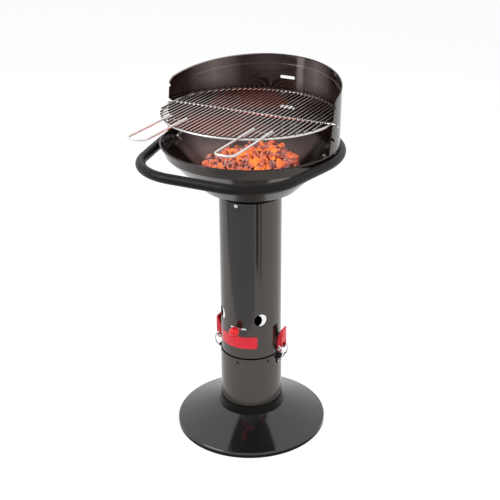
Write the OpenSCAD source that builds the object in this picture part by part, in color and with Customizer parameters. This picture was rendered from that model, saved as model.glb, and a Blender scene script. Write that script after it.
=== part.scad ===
// Column charcoal grill with a windscreen, a lift-out grid and an adjustable air ring.
// Millimetres, +Z up, front towards -Y, origin on the column's axis at floor level.
// An azimuth counts from the front, positive towards +X.

/* [Base] */
// Radius of the base plate's rim
base_r = 208; // [190:1:230]
// Height at which the base's skirt starts to curve in
base_skirt_h = 9; // [6:0.5:14]
// Radius of the curve between the skirt and the cone
base_shoulder_r = 5; // [3:0.5:8]
// Width of the flange turned in under the skirt
base_flange_w = 7; // [4:0.5:12]
// Height of the flat seat on top of the base
base_seat_z = 59; // [50:1:70]
// Radius of the flat seat on top of the base
base_seat_r = 92; // [92:1:110]
// Sheet thickness of the base
base_wall = 1.5; // [1:0.1:2.5]
// Distance of the base bolts from the axis
base_bolt_ring_r = 55; // [40:1:65]

/* [Collar] */
// Height of the trim ring round the foot of the column
collar_h = 25; // [15:1:35]
// Width of the trim ring at its foot
collar_foot_w = 6.7; // [5:0.1:7]
// Width of the trim ring at its top
collar_top_w = 1.3; // [1:0.1:2]
// Radius of the trim ring's hollow outer curve
collar_curve_r = 60; // [58:1:90]

/* [Column] */
// Outer radius of the upper tube
upper_r = 82.1; // [80:0.1:83]
// Wall of both tubes
tube_wall = 1.2; // [1:0.1:2]
// Running gap between the upper tube and the lower tube
tube_gap = 0.7; // [0.4:0.1:0.8]
// Height of the lower tube's top edge
lower_top_z = 232.8; // [230:0.1:236]
// Height of the stop rivets that the upper tube stands on
stop_z = 219; // [215:0.5:221]
// Shank radius of a stop rivet
stop_r = 2.5; // [2:0.1:3]
// Number of stop rivets
stop_count = 6; // [3:3:6]
// Height of the upper tube's top edge
upper_top_z = 687.4; // [670:0.1:700]

/* [Air supply] */
// Radius of an air hole
air_hole_r = 18; // [14:0.5:20]
// Height of the air holes
air_hole_z = 349.5; // [347:0.5:354]
// Height of the air ring
air_ring_h = 66; // [60:1:70]
// Height of the air ring's lower edge
air_ring_z = 312; // [309:0.5:315]
// Wall of the air ring
air_ring_wall = 1; // [0.8:0.1:1.5]
// Angle of the air ring's holes from the tube's holes in the middle position
air_ring_turn = -10; // [-15:1:15]
// Turn of the air ring each way
knob_travel = 15; // [10:1:18]
// Height of the knob slot
knob_z = 323.5; // [322:0.5:324]
// Radius of the knob screw
knob_screw_r = 3; // [2.5:0.1:3.5]
// Gap round the knob screw in its slot
knob_slot_gap = 0.5; // [0.3:0.1:0.8]
// Radius of the knob ball
knob_ball_r = 14; // [11:0.5:15]
// Free length of screw between the tube and the ball
knob_stand = 5.9; // [3:0.1:9]

/* [Label] */
// Lower edge of the label plate
label_z = 265; // [255:1:270]
// Height of the label plate
label_h = 35.5; // [25:0.5:38]
// Thickness of the label plate
label_t = 0.8; // [0.5:0.1:1.2]
// Glue line under the label plate
label_gap = 0.1; // [0.05:0.05:0.2]
// Azimuth of the label plate's middle
label_az = -3; // [-6:1:6]
// Half of the angle that the label plate covers
label_half = 41; // [30:1:50]

/* [Bowl] */
// Outer radius of the bowl's rim
rim_r = 228.5; // [224:0.5:234]
// Height of the top of the bowl's rim
rim_z = 828.5; // [824:0.5:834]
// Radius of the rolled bead on the rim
bead_r = 2.5; // [2:0.1:3]
// Outer radius at the bottom of the band under the rim
band_r = 215.2; // [212:0.1:217]
// Outer radius where the bowl's steep cone meets its shallow floor
floor_r = 125.1; // [120:0.1:130]
// Rise of the shallow floor from the column
floor_rise = 21.3; // [18:0.1:24]
// Slope of the steep cone
cone_slope = 45; // [43:0.5:46]
// Sheet thickness of the bowl
bowl_wall = 1.2; // [1:0.1:1.6]
// Length of the neck inside the column
neck_l = 25.4; // [22:0.1:35]
// Gap between the neck and the column
neck_gap = 0.1; // [0.1:0.05:0.3]
// Distance of the neck bolts below the column's top edge
neck_bolt_drop = 10; // [8:0.5:14]
// Radius of a neck bolt's head
neck_head_r = 5.5; // [4.5:0.1:6.5]

/* [Charcoal] */
// Height of the charcoal grate's ring
grate_z = 722; // [716:1:730]
// Wire radius of the charcoal grate
grate_wire_r = 3; // [2:0.1:3.5]
// Spacing of the charcoal grate's bars
grate_pitch = 16; // [13:0.5:20]
// Radius of the charcoal bed
coal_r = 126; // [110:1:128]
// Height of the charcoal bed above its foot, beside the heap
coal_h = 55; // [45:1:65]
// Height of the heap on the charcoal bed
coal_heap = 32; // [10:1:40]
// Distance of the heap from the axis, to the right and to the rear
coal_heap_x = 30; // [0:5:40]
// Spread of the heap
coal_heap_spread = 80; // [50:5:110]
// Fall of the charcoal bed at its edge
coal_fall = 18; // [10:1:25]
// Number of lumps on the charcoal bed
coal_lumps = 44; // [30:1:60]
// Radius of one lump
coal_lump_r = 19; // [15:0.5:24]
// Depth of the hollows between lumps
coal_lump_h = 14; // [8:1:20]

/* [Handle ring] */
// Distance of the front bar from the column's axis
rail_front = 290; // [280:1:305]
// Centreline radius of the front corners
rail_corner_r = 137; // [120:1:145]
// Angle by which each side runs inwards to the front
rail_splay = 11.2; // [9:0.1:13]
// Height of the handle ring's centreline
rail_z = 808; // [807:0.5:810]
// Outer radius of the handle tube
rail_tube_r = 12.5; // [11:0.1:13]
// Wall of the handle tube
rail_wall = 1.5; // [1:0.1:2]
// Height of the weld beads on the handle tube
weld_h = 0.25; // [0.1:0.05:0.5]
// Gap between the handle tube and the bowl's band
rail_gap = 0.3; // [0.2:0.05:0.5]
// Radius of a threaded insert
insert_r = 4.5; // [4:0.1:5]
// Length of a threaded insert
insert_l = 11; // [8:0.5:13]

/* [Wing screws] */
// Shank radius of the M6 screws
screw_r = 3; // [2.5:0.1:3]
// Clearance round an M6 screw in sheet
screw_gap = 0.3; // [0.2:0.05:0.5]
// Hub radius of a wing screw
wing_hub_r = 6; // [5:0.1:7]
// Hub length of a wing screw
wing_hub_l = 8; // [6:0.5:9]
// Thickness of a wing
wing_t = 2.4; // [1.8:0.1:3]

/* [Windscreen] */
// Height of the windscreen above the rim
screen_rise = 171.5; // [154:0.5:188]
// Fall of the windscreen's top edge for each millimetre forwards
screen_fall = 0.1712; // [0.14:0.001:0.18]
// Outer radius of the windscreen just above the rim, beyond the rim's
screen_foot_out = 0.2; // [0:0.1:1]
// Outward lean of the windscreen from its foot to its top
screen_lean = 1.9; // [1.3:0.1:3.3]
// Sheet thickness of the windscreen
screen_t = 1; // [0.8:0.1:1.5]
// Height of the lower edge of the flange inside the bowl
screen_flange_z = 806; // [804:0.5:807]
// Gap between the windscreen and the bowl
screen_gap = 0.3; // [0.2:0.05:0.5]
// Distance that the front edges reach forward at the rim
screen_reach = 23; // [18:1:28]
// Width of the inward lip along the top edge
lip_w = 1.6; // [1:0.1:3]
// Height of the lip along the top edge
lip_h = 2.5; // [2:0.1:4]

/* [Grid] */
// Height of the grid ring in the middle notches, as a share of the windscreen's
grid_share = 0.4227; // [0.41:0.0001:0.43]
// Step between two notches, as a share of the windscreen's height
notch_share = 0.2391; // [0.22:0.0001:0.245]
// Rise angle of the notches towards the front
notch_slope = 30; // [26:1:32]
// Gap round the cross rod in a notch
notch_gap = 0.3; // [0.2:0.05:0.5]
// Distance of the grid ring's centreline inside the rim
grid_inset = 8.5; // [7:0.5:12]
// Wire radius of the grid ring, the cross rod and the tongue
grid_wire_r = 3; // [2.5:0.1:3]
// Spacing of the grid bars
bar_pitch = 12.15; // [11.5:0.05:12.3]
// Number of grid bars on each side of the middle one
bars_each_side = 17; // [14:1:17]
// Radius of a grid bar
bar_r = 2; // [1.5:0.1:2.2]
// Gap left at each weld
weld_gap = 0.05; // [0.02:0.01:0.1]
// Length of the cross rod from the middle to its bend
rod_half = 235; // [233:1:238]
// Forward reach of the hook on the cross rod's right end
rod_hook = 21; // [15:1:25]
// Sideways reach of the hook on the cross rod's right end
rod_hook_out = 12; // [8:1:15]
// Half of the tongue's width
tongue_half = 15; // [12:0.5:17]
// Wire radius of the tongue
tongue_r = 2.5; // [2:0.1:2.7]
// Length of the tongue along its slope
tongue_l = 24; // [20:1:28]
// Height of a rear slot in the windscreen
slot_h = 8; // [7.4:0.1:9]
// Gap at each end of a rear slot
slot_end_gap = 3.5; // [2:0.5:5]

/* [Grid handles] */
// Wire radius of the grid handles
loop_r = 3; // [2:0.1:3]
// Bar pitches from the middle to the left handle's outer wire
loop_left = 12.5; // [11.5:1:13.5]
// Bar pitches from the middle to the right handle's inner wire
loop_right = 6.5; // [5.5:1:7.5]
// Bar pitches between the two wires of a handle
loop_pitches = 4; // [3:1:5]
// Reach of the left handle from the axis
loop_reach_left = 333; // [310:1:350]
// Reach of the right handle from the axis
loop_reach_right = 344; // [310:1:350]
// Centreline radius of a handle's front corners
loop_corner_r = 18; // [8:1:20]
// Distance of the handles' inner ends from the axis
loop_inner = 136; // [120:1:145]
// Wire radius of the short cross wires
cross_r = 2; // [1.5:0.1:2.5]

/* [Latches] */
// Distance of a lever's pivot from the upper tube
pivot_out = 10.2; // [10:0.1:11]
// Height of a lever's pivot
pivot_z = 247.5; // [246.5:0.5:250]
// Radius of a lever's pin
pin_r = 3; // [2.5:0.1:3.2]
// Running clearance of the latch pins
pin_gap = 0.05; // [0.02:0.01:0.08]
// Width of a lever
lever_w = 26; // [24:0.5:28]
// Sheet thickness of a lever
lever_t = 1.8; // [1.5:0.1:2]
// Tail radius of a lever round its pivot
lever_tail_r = 7.4; // [7:0.1:7.8]
// Height of a lever's tip above its pivot
lever_h = 61; // [55:1:70]
// Distance of a lever's outer face from its pivot
lever_face = 8.7; // [8.2:0.1:10]
// Height above the pivot at which a lever's outer face starts
lever_web_z = 19.5; // [17:0.5:24]
// Distance from a lever's pivot to its bail
bail_crank = 12; // [11:0.5:13]
// Angle by which the closed bail has passed the dead centre
over_centre = 4.5; // [3:0.5:6]
// Wire radius of a bail
bail_r = 2; // [1.6:0.1:2.2]
// Depth of the bow in a bail's legs
bail_bow = 13; // [12:0.5:18]
// Distance of the bail's lower wire from the lower tube
bail_out = 6; // [5.8:0.1:7]
// Height of the bail's lower wire
bail_z = 216; // [215:0.5:217]
// Thickness of the latch plates and catches
plate_t = 1.8; // [1.5:0.1:2]
// Gap between parts that pass each other on a latch
latch_gap = 0.4; // [0.3:0.05:0.5]
// Height of a lever pin's head
pin_head_h = 1; // [0.8:0.1:1.5]
// Half width of a catch
catch_half = 13; // [10:0.5:13]
// Height of a catch's hook behind the bail
catch_lip = 3.8; // [3:0.1:4]
// Shank radius of a latch rivet
rivet_r = 2; // [1.5:0.1:2.5]
// Head radius of a latch rivet
rivet_head_r = 3.6; // [3:0.1:4]
// Head height of a latch rivet
rivet_head_h = 1.4; // [1:0.1:1.6]

/* [Hidden] */
$fn = 96;
// Overlap that keeps cuts clean
eps = 0.5;

upper_in_r = upper_r - tube_wall;
lower_in_r = upper_r + tube_gap;
lower_r = lower_in_r + tube_wall;
upper_bottom_z = stop_z + stop_r;

// Hardware that the standard sets
hex_across = 10;
hex_r = hex_across / 2 / cos(30);
nut_h = 5;
bolt_head_r = 5;
bolt_head_h = 4;
stop_head_r = 3.5;
stop_head_h = 0.8;
stop_tail = 2;
dome_h = 3;
rivet_tail_h = 1.8;
plate_drop = 13.5;
catch_drop = 14;
catch_rivet_drop = 9;
plate_h = 52;
plate_rivet_drop = 8;
plate_rivet_rise = 33;

ring_out_r = upper_in_r - 0.3;
knob_head_r = 5;
knob_head_h = 2.5;
knob_ball_depth = 10;
elbow_bulge = 0.15;

neck_r = upper_in_r - neck_gap;
neck_bolt_z = upper_top_z - neck_bolt_drop;
neck_azimuths = [0, 120, -120];
floor_z = upper_top_z + floor_rise;
band_z = floor_z + (band_r - floor_r) * tan(cone_slope);
bead_c = [rim_r - bead_r, rim_z - bead_r];
band_run = (bead_c[0] - band_r) / (bead_c[1] - band_z);
band_cos = cos(atan(band_run));
function band_at(z) = band_r + (z - band_z) * band_run;

// The handle ring's arcs and straights, all tangent to each other
rail_ring_r = band_at(rail_z) + (rail_tube_r + rail_gap) / band_cos;
rail_yc = rail_corner_r - rail_front;
rail_xc = (rail_ring_r - rail_corner_r + rail_yc * sin(rail_splay)) / cos(rail_splay);
screw_azimuths = [90, -90, 180];
insert_start = rail_ring_r - sqrt(rail_tube_r ^ 2 - insert_r ^ 2) + rail_gap;

// The windscreen's flange follows the band's inner face
flange_top_r = rim_r - 2 * bead_r - screen_gap;
flange_low_r = band_at(screen_flange_z) - bowl_wall / band_cos - screen_gap;
flange_bend_z = rim_z - 2 * bead_r;
screen_foot_z = rim_z + screen_gap;
screen_foot_r = rim_r + screen_foot_out;
screen_top_r = screen_foot_r + screen_lean;
screen_top_z = rim_z + screen_rise;
function screen_at(z) =
  screen_foot_r + (z - screen_foot_z) * (screen_top_r - screen_foot_r) / (screen_top_z - screen_foot_z);
function screen_edge_z(y) = screen_top_z - screen_fall * (screen_top_r - y);
screen_wrap = 9;
wing_face_r = band_at(screen_flange_z) - bowl_wall / band_cos - screen_gap - screen_t / band_cos;

grid_ring_r = rim_r - grid_inset;
grid_z = rim_z + grid_share * screen_rise;
notch_step = notch_share * screen_rise;
notch_r = grid_wire_r + notch_gap;
tongue_start = grid_ring_r + grid_wire_r + 0.3;
slot_z = grid_z - (screen_at(grid_z) - screen_t / 2 - tongue_start) * tan(notch_slope);
bar_z = grid_z + grid_wire_r + bar_r + weld_gap;
loop_z = grid_z + grid_wire_r + loop_r + weld_gap;
cross_z = bar_z - bar_r - cross_r - weld_gap;

pivot = [upper_r + pivot_out, pivot_z];
bail_low = [lower_r + bail_out, bail_z];
crank_angle = atan2(pivot[0] - bail_low[0], pivot[1] - bail_low[1]) - over_centre;
bail_top = pivot + bail_crank * [sin(crank_angle), cos(crank_angle)];
lever_in_half = lever_w / 2 - lever_t;
ear_half = lever_in_half - latch_gap;
bail_half = lever_w / 2 + latch_gap + pin_head_h + bail_r + 0.2;

// Cuts reach from the axis past everything they go through
far_r = 260;

// Path helpers: a sheet is a path and its mitred copy on the left of the travel
function left(p, q) = [p[1] - q[1], q[0] - p[0]] / norm(q - p);
function mitre(a, b) = (a + b) / (1 + a * b);
function moved(path, i, t) =
  i == 0 ? path[0] + t * left(path[0], path[1]) :
  i == len(path) - 1 ? path[i] + t * left(path[i - 1], path[i]) :
  path[i] + t * mitre(left(path[i - 1], path[i]), left(path[i], path[i + 1]));
function sheet(path, t) = concat(path, [for (i = [len(path) - 1:-1:0]) moved(path, i, t)]);
function arc(c, r, from, to, n) =
  [for (i = [0:n]) let (a = from + (to - from) * i / n) c + r * [cos(a), sin(a)]];

// Turns its children from the front to an azimuth
module at_azimuth(a) {
  rotate([0, 0, a]) children();
}

// A cylinder that points away from the axis
module radial(a, z, from, to, r) {
  at_azimuth(a) translate([0, -from, z]) rotate([90, 0, 0]) cylinder(r = r, h = to - from);
}

// A straight round wire with rounded ends between two points
module wire(p, q, r) {
  d = q - p;
  translate(p) rotate([0, acos(d[2] / norm(d)), atan2(d[1], d[0])]) cylinder(r = r, h = norm(d), $fn = 32);
}

// A rounded joint between two wires, a little thicker than they are
module elbow(p, r) {
  translate(p) sphere(r = r + elbow_bulge, $fn = 32);
}

// A shape drawn in radius and height, extruded along Y on the right side
module across(w) {
  rotate([90, 0, 0]) linear_extrude(height = w, center = true) children();
}

// A round bar along Y on the right side
module cross_pin(p, w, r) {
  translate([p[0], 0, p[1]]) rotate([90, 0, 0]) cylinder(r = r, h = w, center = true);
}

module mirrored() {
  mirror([1, 0, 0]) children();
}

// Base
base_curve_c = [base_r - base_shoulder_r, base_skirt_h];
base_top = [base_seat_r, base_seat_z];
base_tangent = atan2(base_top[1] - base_curve_c[1], base_top[0] - base_curve_c[0])
  - acos(base_shoulder_r / norm(base_top - base_curve_c));
base_path = concat(
  [[base_r - base_flange_w, 0], [base_r, 0]],
  arc(base_curve_c, base_shoulder_r, 0, base_tangent, 5),
  [base_top, [0, base_seat_z]]
);

module base_bolt_holes(r) {
  for (a = [0, 120, 240])
    at_azimuth(a) translate([0, -base_bolt_ring_r, base_seat_z - 10]) cylinder(r = r, h = 20);
}

module base_plate() {
  color("#1b1c1f") difference() {
    rotate_extrude() polygon(sheet(base_path, base_wall));
    base_bolt_holes(screw_r + screw_gap);
  }
}

module base_bolts() {
  color("silver") for (a = [0, 120, 240])
    at_azimuth(a) translate([0, -base_bolt_ring_r, base_seat_z + tube_wall]) {
      cylinder(r = bolt_head_r, h = bolt_head_h);
      translate([0, 0, -tube_wall - base_wall - nut_h - 2])
        cylinder(r = screw_r, h = tube_wall + base_wall + nut_h + 2 + eps);
    }
}

module base_nuts() {
  color("silver") for (a = [0, 120, 240])
    at_azimuth(a) translate([0, -base_bolt_ring_r, base_seat_z - base_wall - nut_h]) difference() {
      cylinder(r = hex_r, h = nut_h, $fn = 6);
      translate([0, 0, -eps]) cylinder(r = screw_r, h = nut_h + 2 * eps);
    }
}

// Collar
collar_in_r = lower_r + 0.3;
collar_top = [collar_in_r + collar_top_w, base_seat_z + collar_h];
collar_foot = [collar_in_r + collar_foot_w, base_seat_z];
collar_span = norm(collar_foot - collar_top);
collar_c = (collar_foot + collar_top) / 2
  + left(collar_foot, collar_top) * -sqrt(collar_curve_r ^ 2 - collar_span ^ 2 / 4);
collar_from = atan2(collar_foot[1] - collar_c[1], collar_foot[0] - collar_c[0]) + 360;
collar_to = atan2(collar_top[1] - collar_c[1], collar_top[0] - collar_c[0]);
collar_to_up = collar_to < 0 ? collar_to + 360 : collar_to;

module tube_collar() {
  color("#17181a") rotate_extrude() polygon(concat(
    [[collar_in_r, base_seat_z]],
    arc(collar_c, collar_curve_r, collar_from, collar_to_up, 8),
    [[collar_in_r, base_seat_z + collar_h]]
  ));
}

// Column
module lower_tube() {
  color("#8d8b88") difference() {
    translate([0, 0, base_seat_z]) cylinder(r = lower_r, h = lower_top_z - base_seat_z);
    translate([0, 0, base_seat_z + tube_wall]) cylinder(r = lower_in_r, h = lower_top_z);
    base_bolt_holes(screw_r + screw_gap);
    for (i = [0:stop_count - 1])
      radial(i * 360 / stop_count, stop_z, upper_in_r - 5, lower_r + 5, stop_r);
    catch_rivet_places() rivet_hole();
  }
}

module stop_rivets() {
  color("#2b2b2b") for (i = [0:stop_count - 1]) {
    radial(i * 360 / stop_count, stop_z, upper_in_r - stop_tail, lower_r + stop_head_h, stop_r);
    radial(i * 360 / stop_count, stop_z, lower_r, lower_r + stop_head_h, stop_head_r);
  }
}

module upper_tube() {
  color("#8f9196") difference() {
    translate([0, 0, upper_bottom_z]) cylinder(r = upper_r, h = upper_top_z - upper_bottom_z);
    translate([0, 0, upper_bottom_z - eps]) cylinder(r = upper_in_r, h = upper_top_z);
    for (a = [-135, -45, 45, 135])
      radial(a, air_hole_z, upper_in_r - 10, upper_r + 10, air_hole_r);
    knob_slot();
    for (a = neck_azimuths)
      radial(a, neck_bolt_z, neck_r - 10, upper_r + 10, screw_r + screw_gap);
    plate_rivet_places() rivet_hole();
  }
}

// The slot lets the screw turn by its travel each way
module knob_slot() {
  slot_r = knob_screw_r + knob_slot_gap;
  rotate([0, 0, -90 - knob_travel]) rotate_extrude(angle = 2 * knob_travel)
    translate([upper_in_r - 10, knob_z - slot_r]) square([tube_wall + 20, 2 * slot_r]);
  for (s = [-1, 1])
    radial(s * knob_travel, knob_z, upper_in_r - 10, upper_r + 10, slot_r);
}

module label_plate() {
  color("#b3122a") rotate([0, 0, label_az - label_half - 90]) rotate_extrude(angle = 2 * label_half)
    translate([upper_r + label_gap, label_z]) square([label_t, label_h]);
}

// Air ring with its knob
module air_ring() {
  color("#d0d2d4") difference() {
    translate([0, 0, air_ring_z]) cylinder(r = ring_out_r, h = air_ring_h);
    translate([0, 0, air_ring_z - eps]) cylinder(r = ring_out_r - air_ring_wall, h = air_ring_h + 2 * eps);
    for (a = [-135, -45, 45, 135])
      radial(a + air_ring_turn, air_hole_z, ring_out_r - 10, ring_out_r + 10, air_hole_r);
    radial(0, knob_z, ring_out_r - 10, ring_out_r + 10, knob_screw_r);
  }
}

knob_seat_r = sqrt((ring_out_r - air_ring_wall) ^ 2 - knob_head_r ^ 2);
ball_c_r = upper_r + knob_stand + knob_ball_r;
ball_bore_end = ball_c_r - knob_ball_r + knob_ball_depth;

module knob_screw() {
  color("silver") {
    radial(0, knob_z, knob_seat_r - knob_head_h, ball_bore_end, knob_screw_r);
    radial(0, knob_z, knob_seat_r - knob_head_h, knob_seat_r, knob_head_r);
  }
}

module knob_ball() {
  color("#c2182c") difference() {
    translate([0, -ball_c_r, knob_z]) sphere(r = knob_ball_r);
    radial(0, knob_z, ball_c_r - knob_ball_r - eps, ball_bore_end, knob_screw_r);
  }
}

// Latches, drawn on the right and mirrored to the left
module plate_rivet_places() {
  for (s = [1, -1], z = [pivot_z - plate_rivet_drop, pivot_z + plate_rivet_rise])
    mirror([s < 0 ? 1 : 0, 0, 0]) translate([0, 0, z]) children();
}

module catch_rivet_places() {
  for (s = [1, -1], y = [-7, 7])
    mirror([s < 0 ? 1 : 0, 0, 0]) translate([0, y, bail_z - catch_rivet_drop]) children();
}

module rivet_hole() {
  translate([upper_in_r - 20, 0, 0]) rotate([0, 90, 0]) cylinder(r = rivet_r, h = 40);
}

// A rivet through a plate on a tube of radius r, offset by y from the middle
module rivet(r, wall, y) {
  inner = sqrt((r - wall) ^ 2 - (abs(y) + rivet_head_r) ^ 2);
  translate([inner - rivet_tail_h, 0, 0]) rotate([0, 90, 0]) {
    cylinder(r = rivet_r, h = r + plate_t + rivet_head_h - inner + rivet_tail_h);
    cylinder(r = rivet_head_r, h = rivet_tail_h);
  }
  translate([r + plate_t, 0, 0]) rotate([0, 90, 0]) cylinder(r = rivet_head_r, h = rivet_head_h);
}

module latch_rivets() {
  color("silver") {
    plate_rivet_places() rivet(upper_r, tube_wall, 0);
    catch_rivet_places() rivet(lower_r, tube_wall, 7);
  }
}

module latch_plate() {
  difference() {
    union() {
      translate([upper_r, -ear_half, pivot_z - plate_drop]) cube([plate_t, 2 * ear_half, plate_h]);
      for (s = [-1, 1])
        translate([0, s * (ear_half - plate_t / 2), 0]) across(plate_t) {
          translate(pivot) circle(r = 2 * pin_r);
          translate([upper_r + plate_t / 2, pivot_z - 2 * pin_r])
            square([pivot_out - plate_t / 2, 4 * pin_r]);
        }
    }
    cross_pin(pivot, lever_w, pin_r);
    for (z = [pivot_z - plate_rivet_drop, pivot_z + plate_rivet_rise])
      translate([0, 0, z]) rivet_hole();
  }
}

module latch_plate_left() {
  color("#8f9196") mirrored() latch_plate();
}

module latch_plate_right() {
  color("#8f9196") latch_plate();
}

module lever_pins() {
  color("silver") for (s = [1, -1])
    mirror([s < 0 ? 1 : 0, 0, 0]) {
      cross_pin(pivot, lever_w + 2 * latch_gap, pin_r);
      for (t = [-1, 1])
        translate([0, t * (lever_w + 2 * latch_gap + pin_head_h) / 2, 0])
          cross_pin(pivot, pin_head_h, pin_r + 1.2);
    }
}

// The lever's side view from the pivot: a tail round the pin and a flared finger end
module lever_side() {
  translate(pivot) polygon(concat(
    arc([0, 0], lever_tail_r, 180, 360, 16),
    [
      [lever_face, lever_web_z], [lever_face, lever_h - 5], [lever_face - 1.5, lever_h],
      [lever_face - 4, lever_h], [-1.5, lever_h - 17], [-6.8, lever_h - 32],
      [-lever_tail_r - 0.3, lever_h - 39.5]
    ]
  ));
}

module latch_lever() {
  difference() {
    across(lever_w) lever_side();
    across(2 * lever_in_half) {
      translate([-lever_t, 0]) lever_side();
      translate([pivot[0] - 20, pivot_z - 20]) square([40, 20 + lever_web_z]);
    }
    cross_pin(pivot, lever_w + 1, pin_r + pin_gap);
    cross_pin(bail_top, lever_w + 1, bail_r + pin_gap);
  }
}

module latch_lever_left() {
  color("#c2182c") mirrored() latch_lever();
}

module latch_lever_right() {
  color("#c2182c") latch_lever();
}

// A leg is one arc that bows out round the lever's pin
module bail_leg() {
  chord = norm(bail_top - bail_low);
  bow_r = (chord ^ 2 / 4 + bail_bow ^ 2) / (2 * bail_bow);
  c = (bail_top + bail_low) / 2 + (bail_bow - bow_r) * left(bail_top, bail_low);
  from = atan2(bail_low[1] - c[1], bail_low[0] - c[0]);
  to = atan2(bail_top[1] - c[1], bail_top[0] - c[0]);
  translate([c[0], 0, c[1]]) rotate([90, 0, 0]) rotate([0, 0, from]) rotate_extrude(angle = to - from)
    translate([bow_r, 0]) circle(r = bail_r, $fn = 32);
}

module latch_bail() {
  for (s = [-1, 1]) {
    top = [bail_top[0], s * bail_half, bail_top[1]];
    low = [bail_low[0], s * bail_half, bail_low[1]];
    translate([0, s * bail_half, 0]) bail_leg();
    elbow(top, bail_r);
    elbow(low, bail_r);
    wire([top[0], s * (ear_half - 0.2), top[2]], top, bail_r);
  }
  wire([bail_low[0], -bail_half, bail_low[1]], [bail_low[0], bail_half, bail_low[1]], bail_r);
}

module latch_bail_left() {
  color("silver") mirrored() latch_bail();
}

module latch_bail_right() {
  color("silver") latch_bail();
}

// The catch hooks over the bail's lower wire
module catch() {
  over = bail_z + bail_r + 0.3;
  lip = bail_low[0] + bail_r + 1.6;
  difference() {
    across(2 * catch_half) polygon([
      [lower_r, bail_z - catch_drop], [lower_r + plate_t, bail_z - catch_drop],
      [lower_r + plate_t, over], [lip, over],
      [lip, over - catch_lip], [lip + 2, over - catch_lip], [lip + 2, over + 1], [lip + 1, over + 2],
      [lower_r + plate_t, over + 2], [lower_r + plate_t, over + 6], [lower_r, over + 6]
    ]);
    for (y = [-7, 7])
      translate([0, y, bail_z - catch_rivet_drop]) rivet_hole();
  }
}

module catch_left() {
  color("#202124") mirrored() catch();
}

module catch_right() {
  color("#202124") catch();
}

// Bowl
bowl_path = [
  [neck_r, upper_top_z - neck_l], [neck_r, upper_top_z], [floor_r, floor_z], [band_r, band_z], bead_c
];

module bowl() {
  color("#7d7f83") difference() {
    union() {
      rotate_extrude() polygon(sheet(bowl_path, bowl_wall));
      rotate_extrude() translate(bead_c) circle(r = bead_r, $fn = 32);
    }
    for (a = neck_azimuths)
      radial(a, neck_bolt_z, neck_r - 10, upper_r + 10, screw_r + screw_gap);
    for (a = screw_azimuths)
      radial(a, rail_z, flange_low_r - 20, far_r, screw_r + screw_gap);
  }
}

neck_nut_face = sqrt((neck_r - bowl_wall) ^ 2 - hex_r ^ 2);

module neck_bolts() {
  color("silver") for (a = neck_azimuths) {
    radial(a, neck_bolt_z, neck_nut_face - nut_h - 1, upper_r + 1, screw_r);
    at_azimuth(a) translate([0, -upper_r, neck_bolt_z]) rotate([90, 0, 0]) intersection() {
      cylinder(r = neck_head_r, h = dome_h);
      translate([0, 0, dome_h - dome_ball_r]) sphere(r = dome_ball_r);
    }
  }
}

dome_ball_r = (neck_head_r ^ 2 + dome_h ^ 2) / (2 * dome_h);

module neck_nuts() {
  color("silver") for (a = neck_azimuths)
    at_azimuth(a) translate([0, -neck_nut_face + nut_h, neck_bolt_z]) rotate([90, 0, 0]) difference() {
      cylinder(r = hex_r, h = nut_h, $fn = 6);
      translate([0, 0, -eps]) cylinder(r = screw_r, h = nut_h + 2 * eps);
    }
}

// Charcoal
cone_in_shift = floor_r - floor_z / tan(cone_slope) - bowl_wall / sin(cone_slope);
grate_r = cone_in_shift + grate_z / tan(cone_slope) - (grate_wire_r + 0.2) / sin(cone_slope);
grate_bars = floor((grate_r - 10) / grate_pitch);

module charcoal_grate() {
  color("#3a3a3a") {
    rotate_extrude() translate([grate_r, grate_z]) circle(r = grate_wire_r, $fn = 32);
    for (i = [-grate_bars:grate_bars]) {
      half = sqrt(grate_r ^ 2 - (i * grate_pitch) ^ 2);
      translate([i * grate_pitch, 0, grate_z]) rotate([90, 0, 0])
        cylinder(r = grate_wire_r - 0.5, h = 2 * half, center = true, $fn = 32);
    }
  }
}

// The bed is a low dome covered in lumps that lie on a sunflower spiral
coal_foot_z = grate_z + grate_wire_r + 0.2;
coal_rings = 16;
coal_spokes = 48;
function coal_dome(p) = coal_foot_z + coal_h - coal_fall * pow(norm(p) / coal_r, 4)
  + coal_heap * exp(-pow(norm(p - coal_heap_x * [1, 1]) / coal_heap_spread, 2));
coal_centres = [for (i = [0:coal_lumps - 1])
  let (r = 0.93 * coal_r * sqrt((i + 0.5) / coal_lumps), a = i * 137.508, p = r * [cos(a), sin(a)])
  [p[0], p[1], coal_dome(p) + 5 * sin(i * 77)]];
function coal_top(x, y) = max(
  coal_dome([x, y]) - 20,
  max([for (c = coal_centres) c[2] - coal_lump_h * pow(norm([x - c[0], y - c[1]]) / coal_lump_r, 3)])
);
function coal_point(i, j) =
  let (r = coal_r * i / coal_rings, a = 360 * j / coal_spokes, x = r * cos(a), y = r * sin(a))
  [x, y, coal_top(x, y)];
coal_points = concat(
  [[0, 0, coal_foot_z], [0, 0, coal_top(0, 0)]],
  [for (i = [1:coal_rings], j = [0:coal_spokes - 1]) coal_point(i, j)],
  [for (j = [0:coal_spokes - 1])
    let (a = 360 * j / coal_spokes, r = 0.95 * coal_r) [r * cos(a), r * sin(a), coal_foot_z]]
);
function coal_index(i, j) = 2 + (i - 1) * coal_spokes + j % coal_spokes;
coal_faces = concat(
  [for (j = [0:coal_spokes - 1]) [1, coal_index(1, j + 1), coal_index(1, j)]],
  [for (i = [1:coal_rings], j = [0:coal_spokes - 1])
    [coal_index(i, j), coal_index(i, j + 1), coal_index(i + 1, j + 1)]],
  [for (i = [1:coal_rings], j = [0:coal_spokes - 1])
    [coal_index(i, j), coal_index(i + 1, j + 1), coal_index(i + 1, j)]],
  [for (j = [0:coal_spokes - 1]) [0, coal_index(coal_rings + 1, j), coal_index(coal_rings + 1, j + 1)]]
);

module charcoal_bed() {
  color("#d65a2e") polyhedron(coal_points, coal_faces);
}

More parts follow.
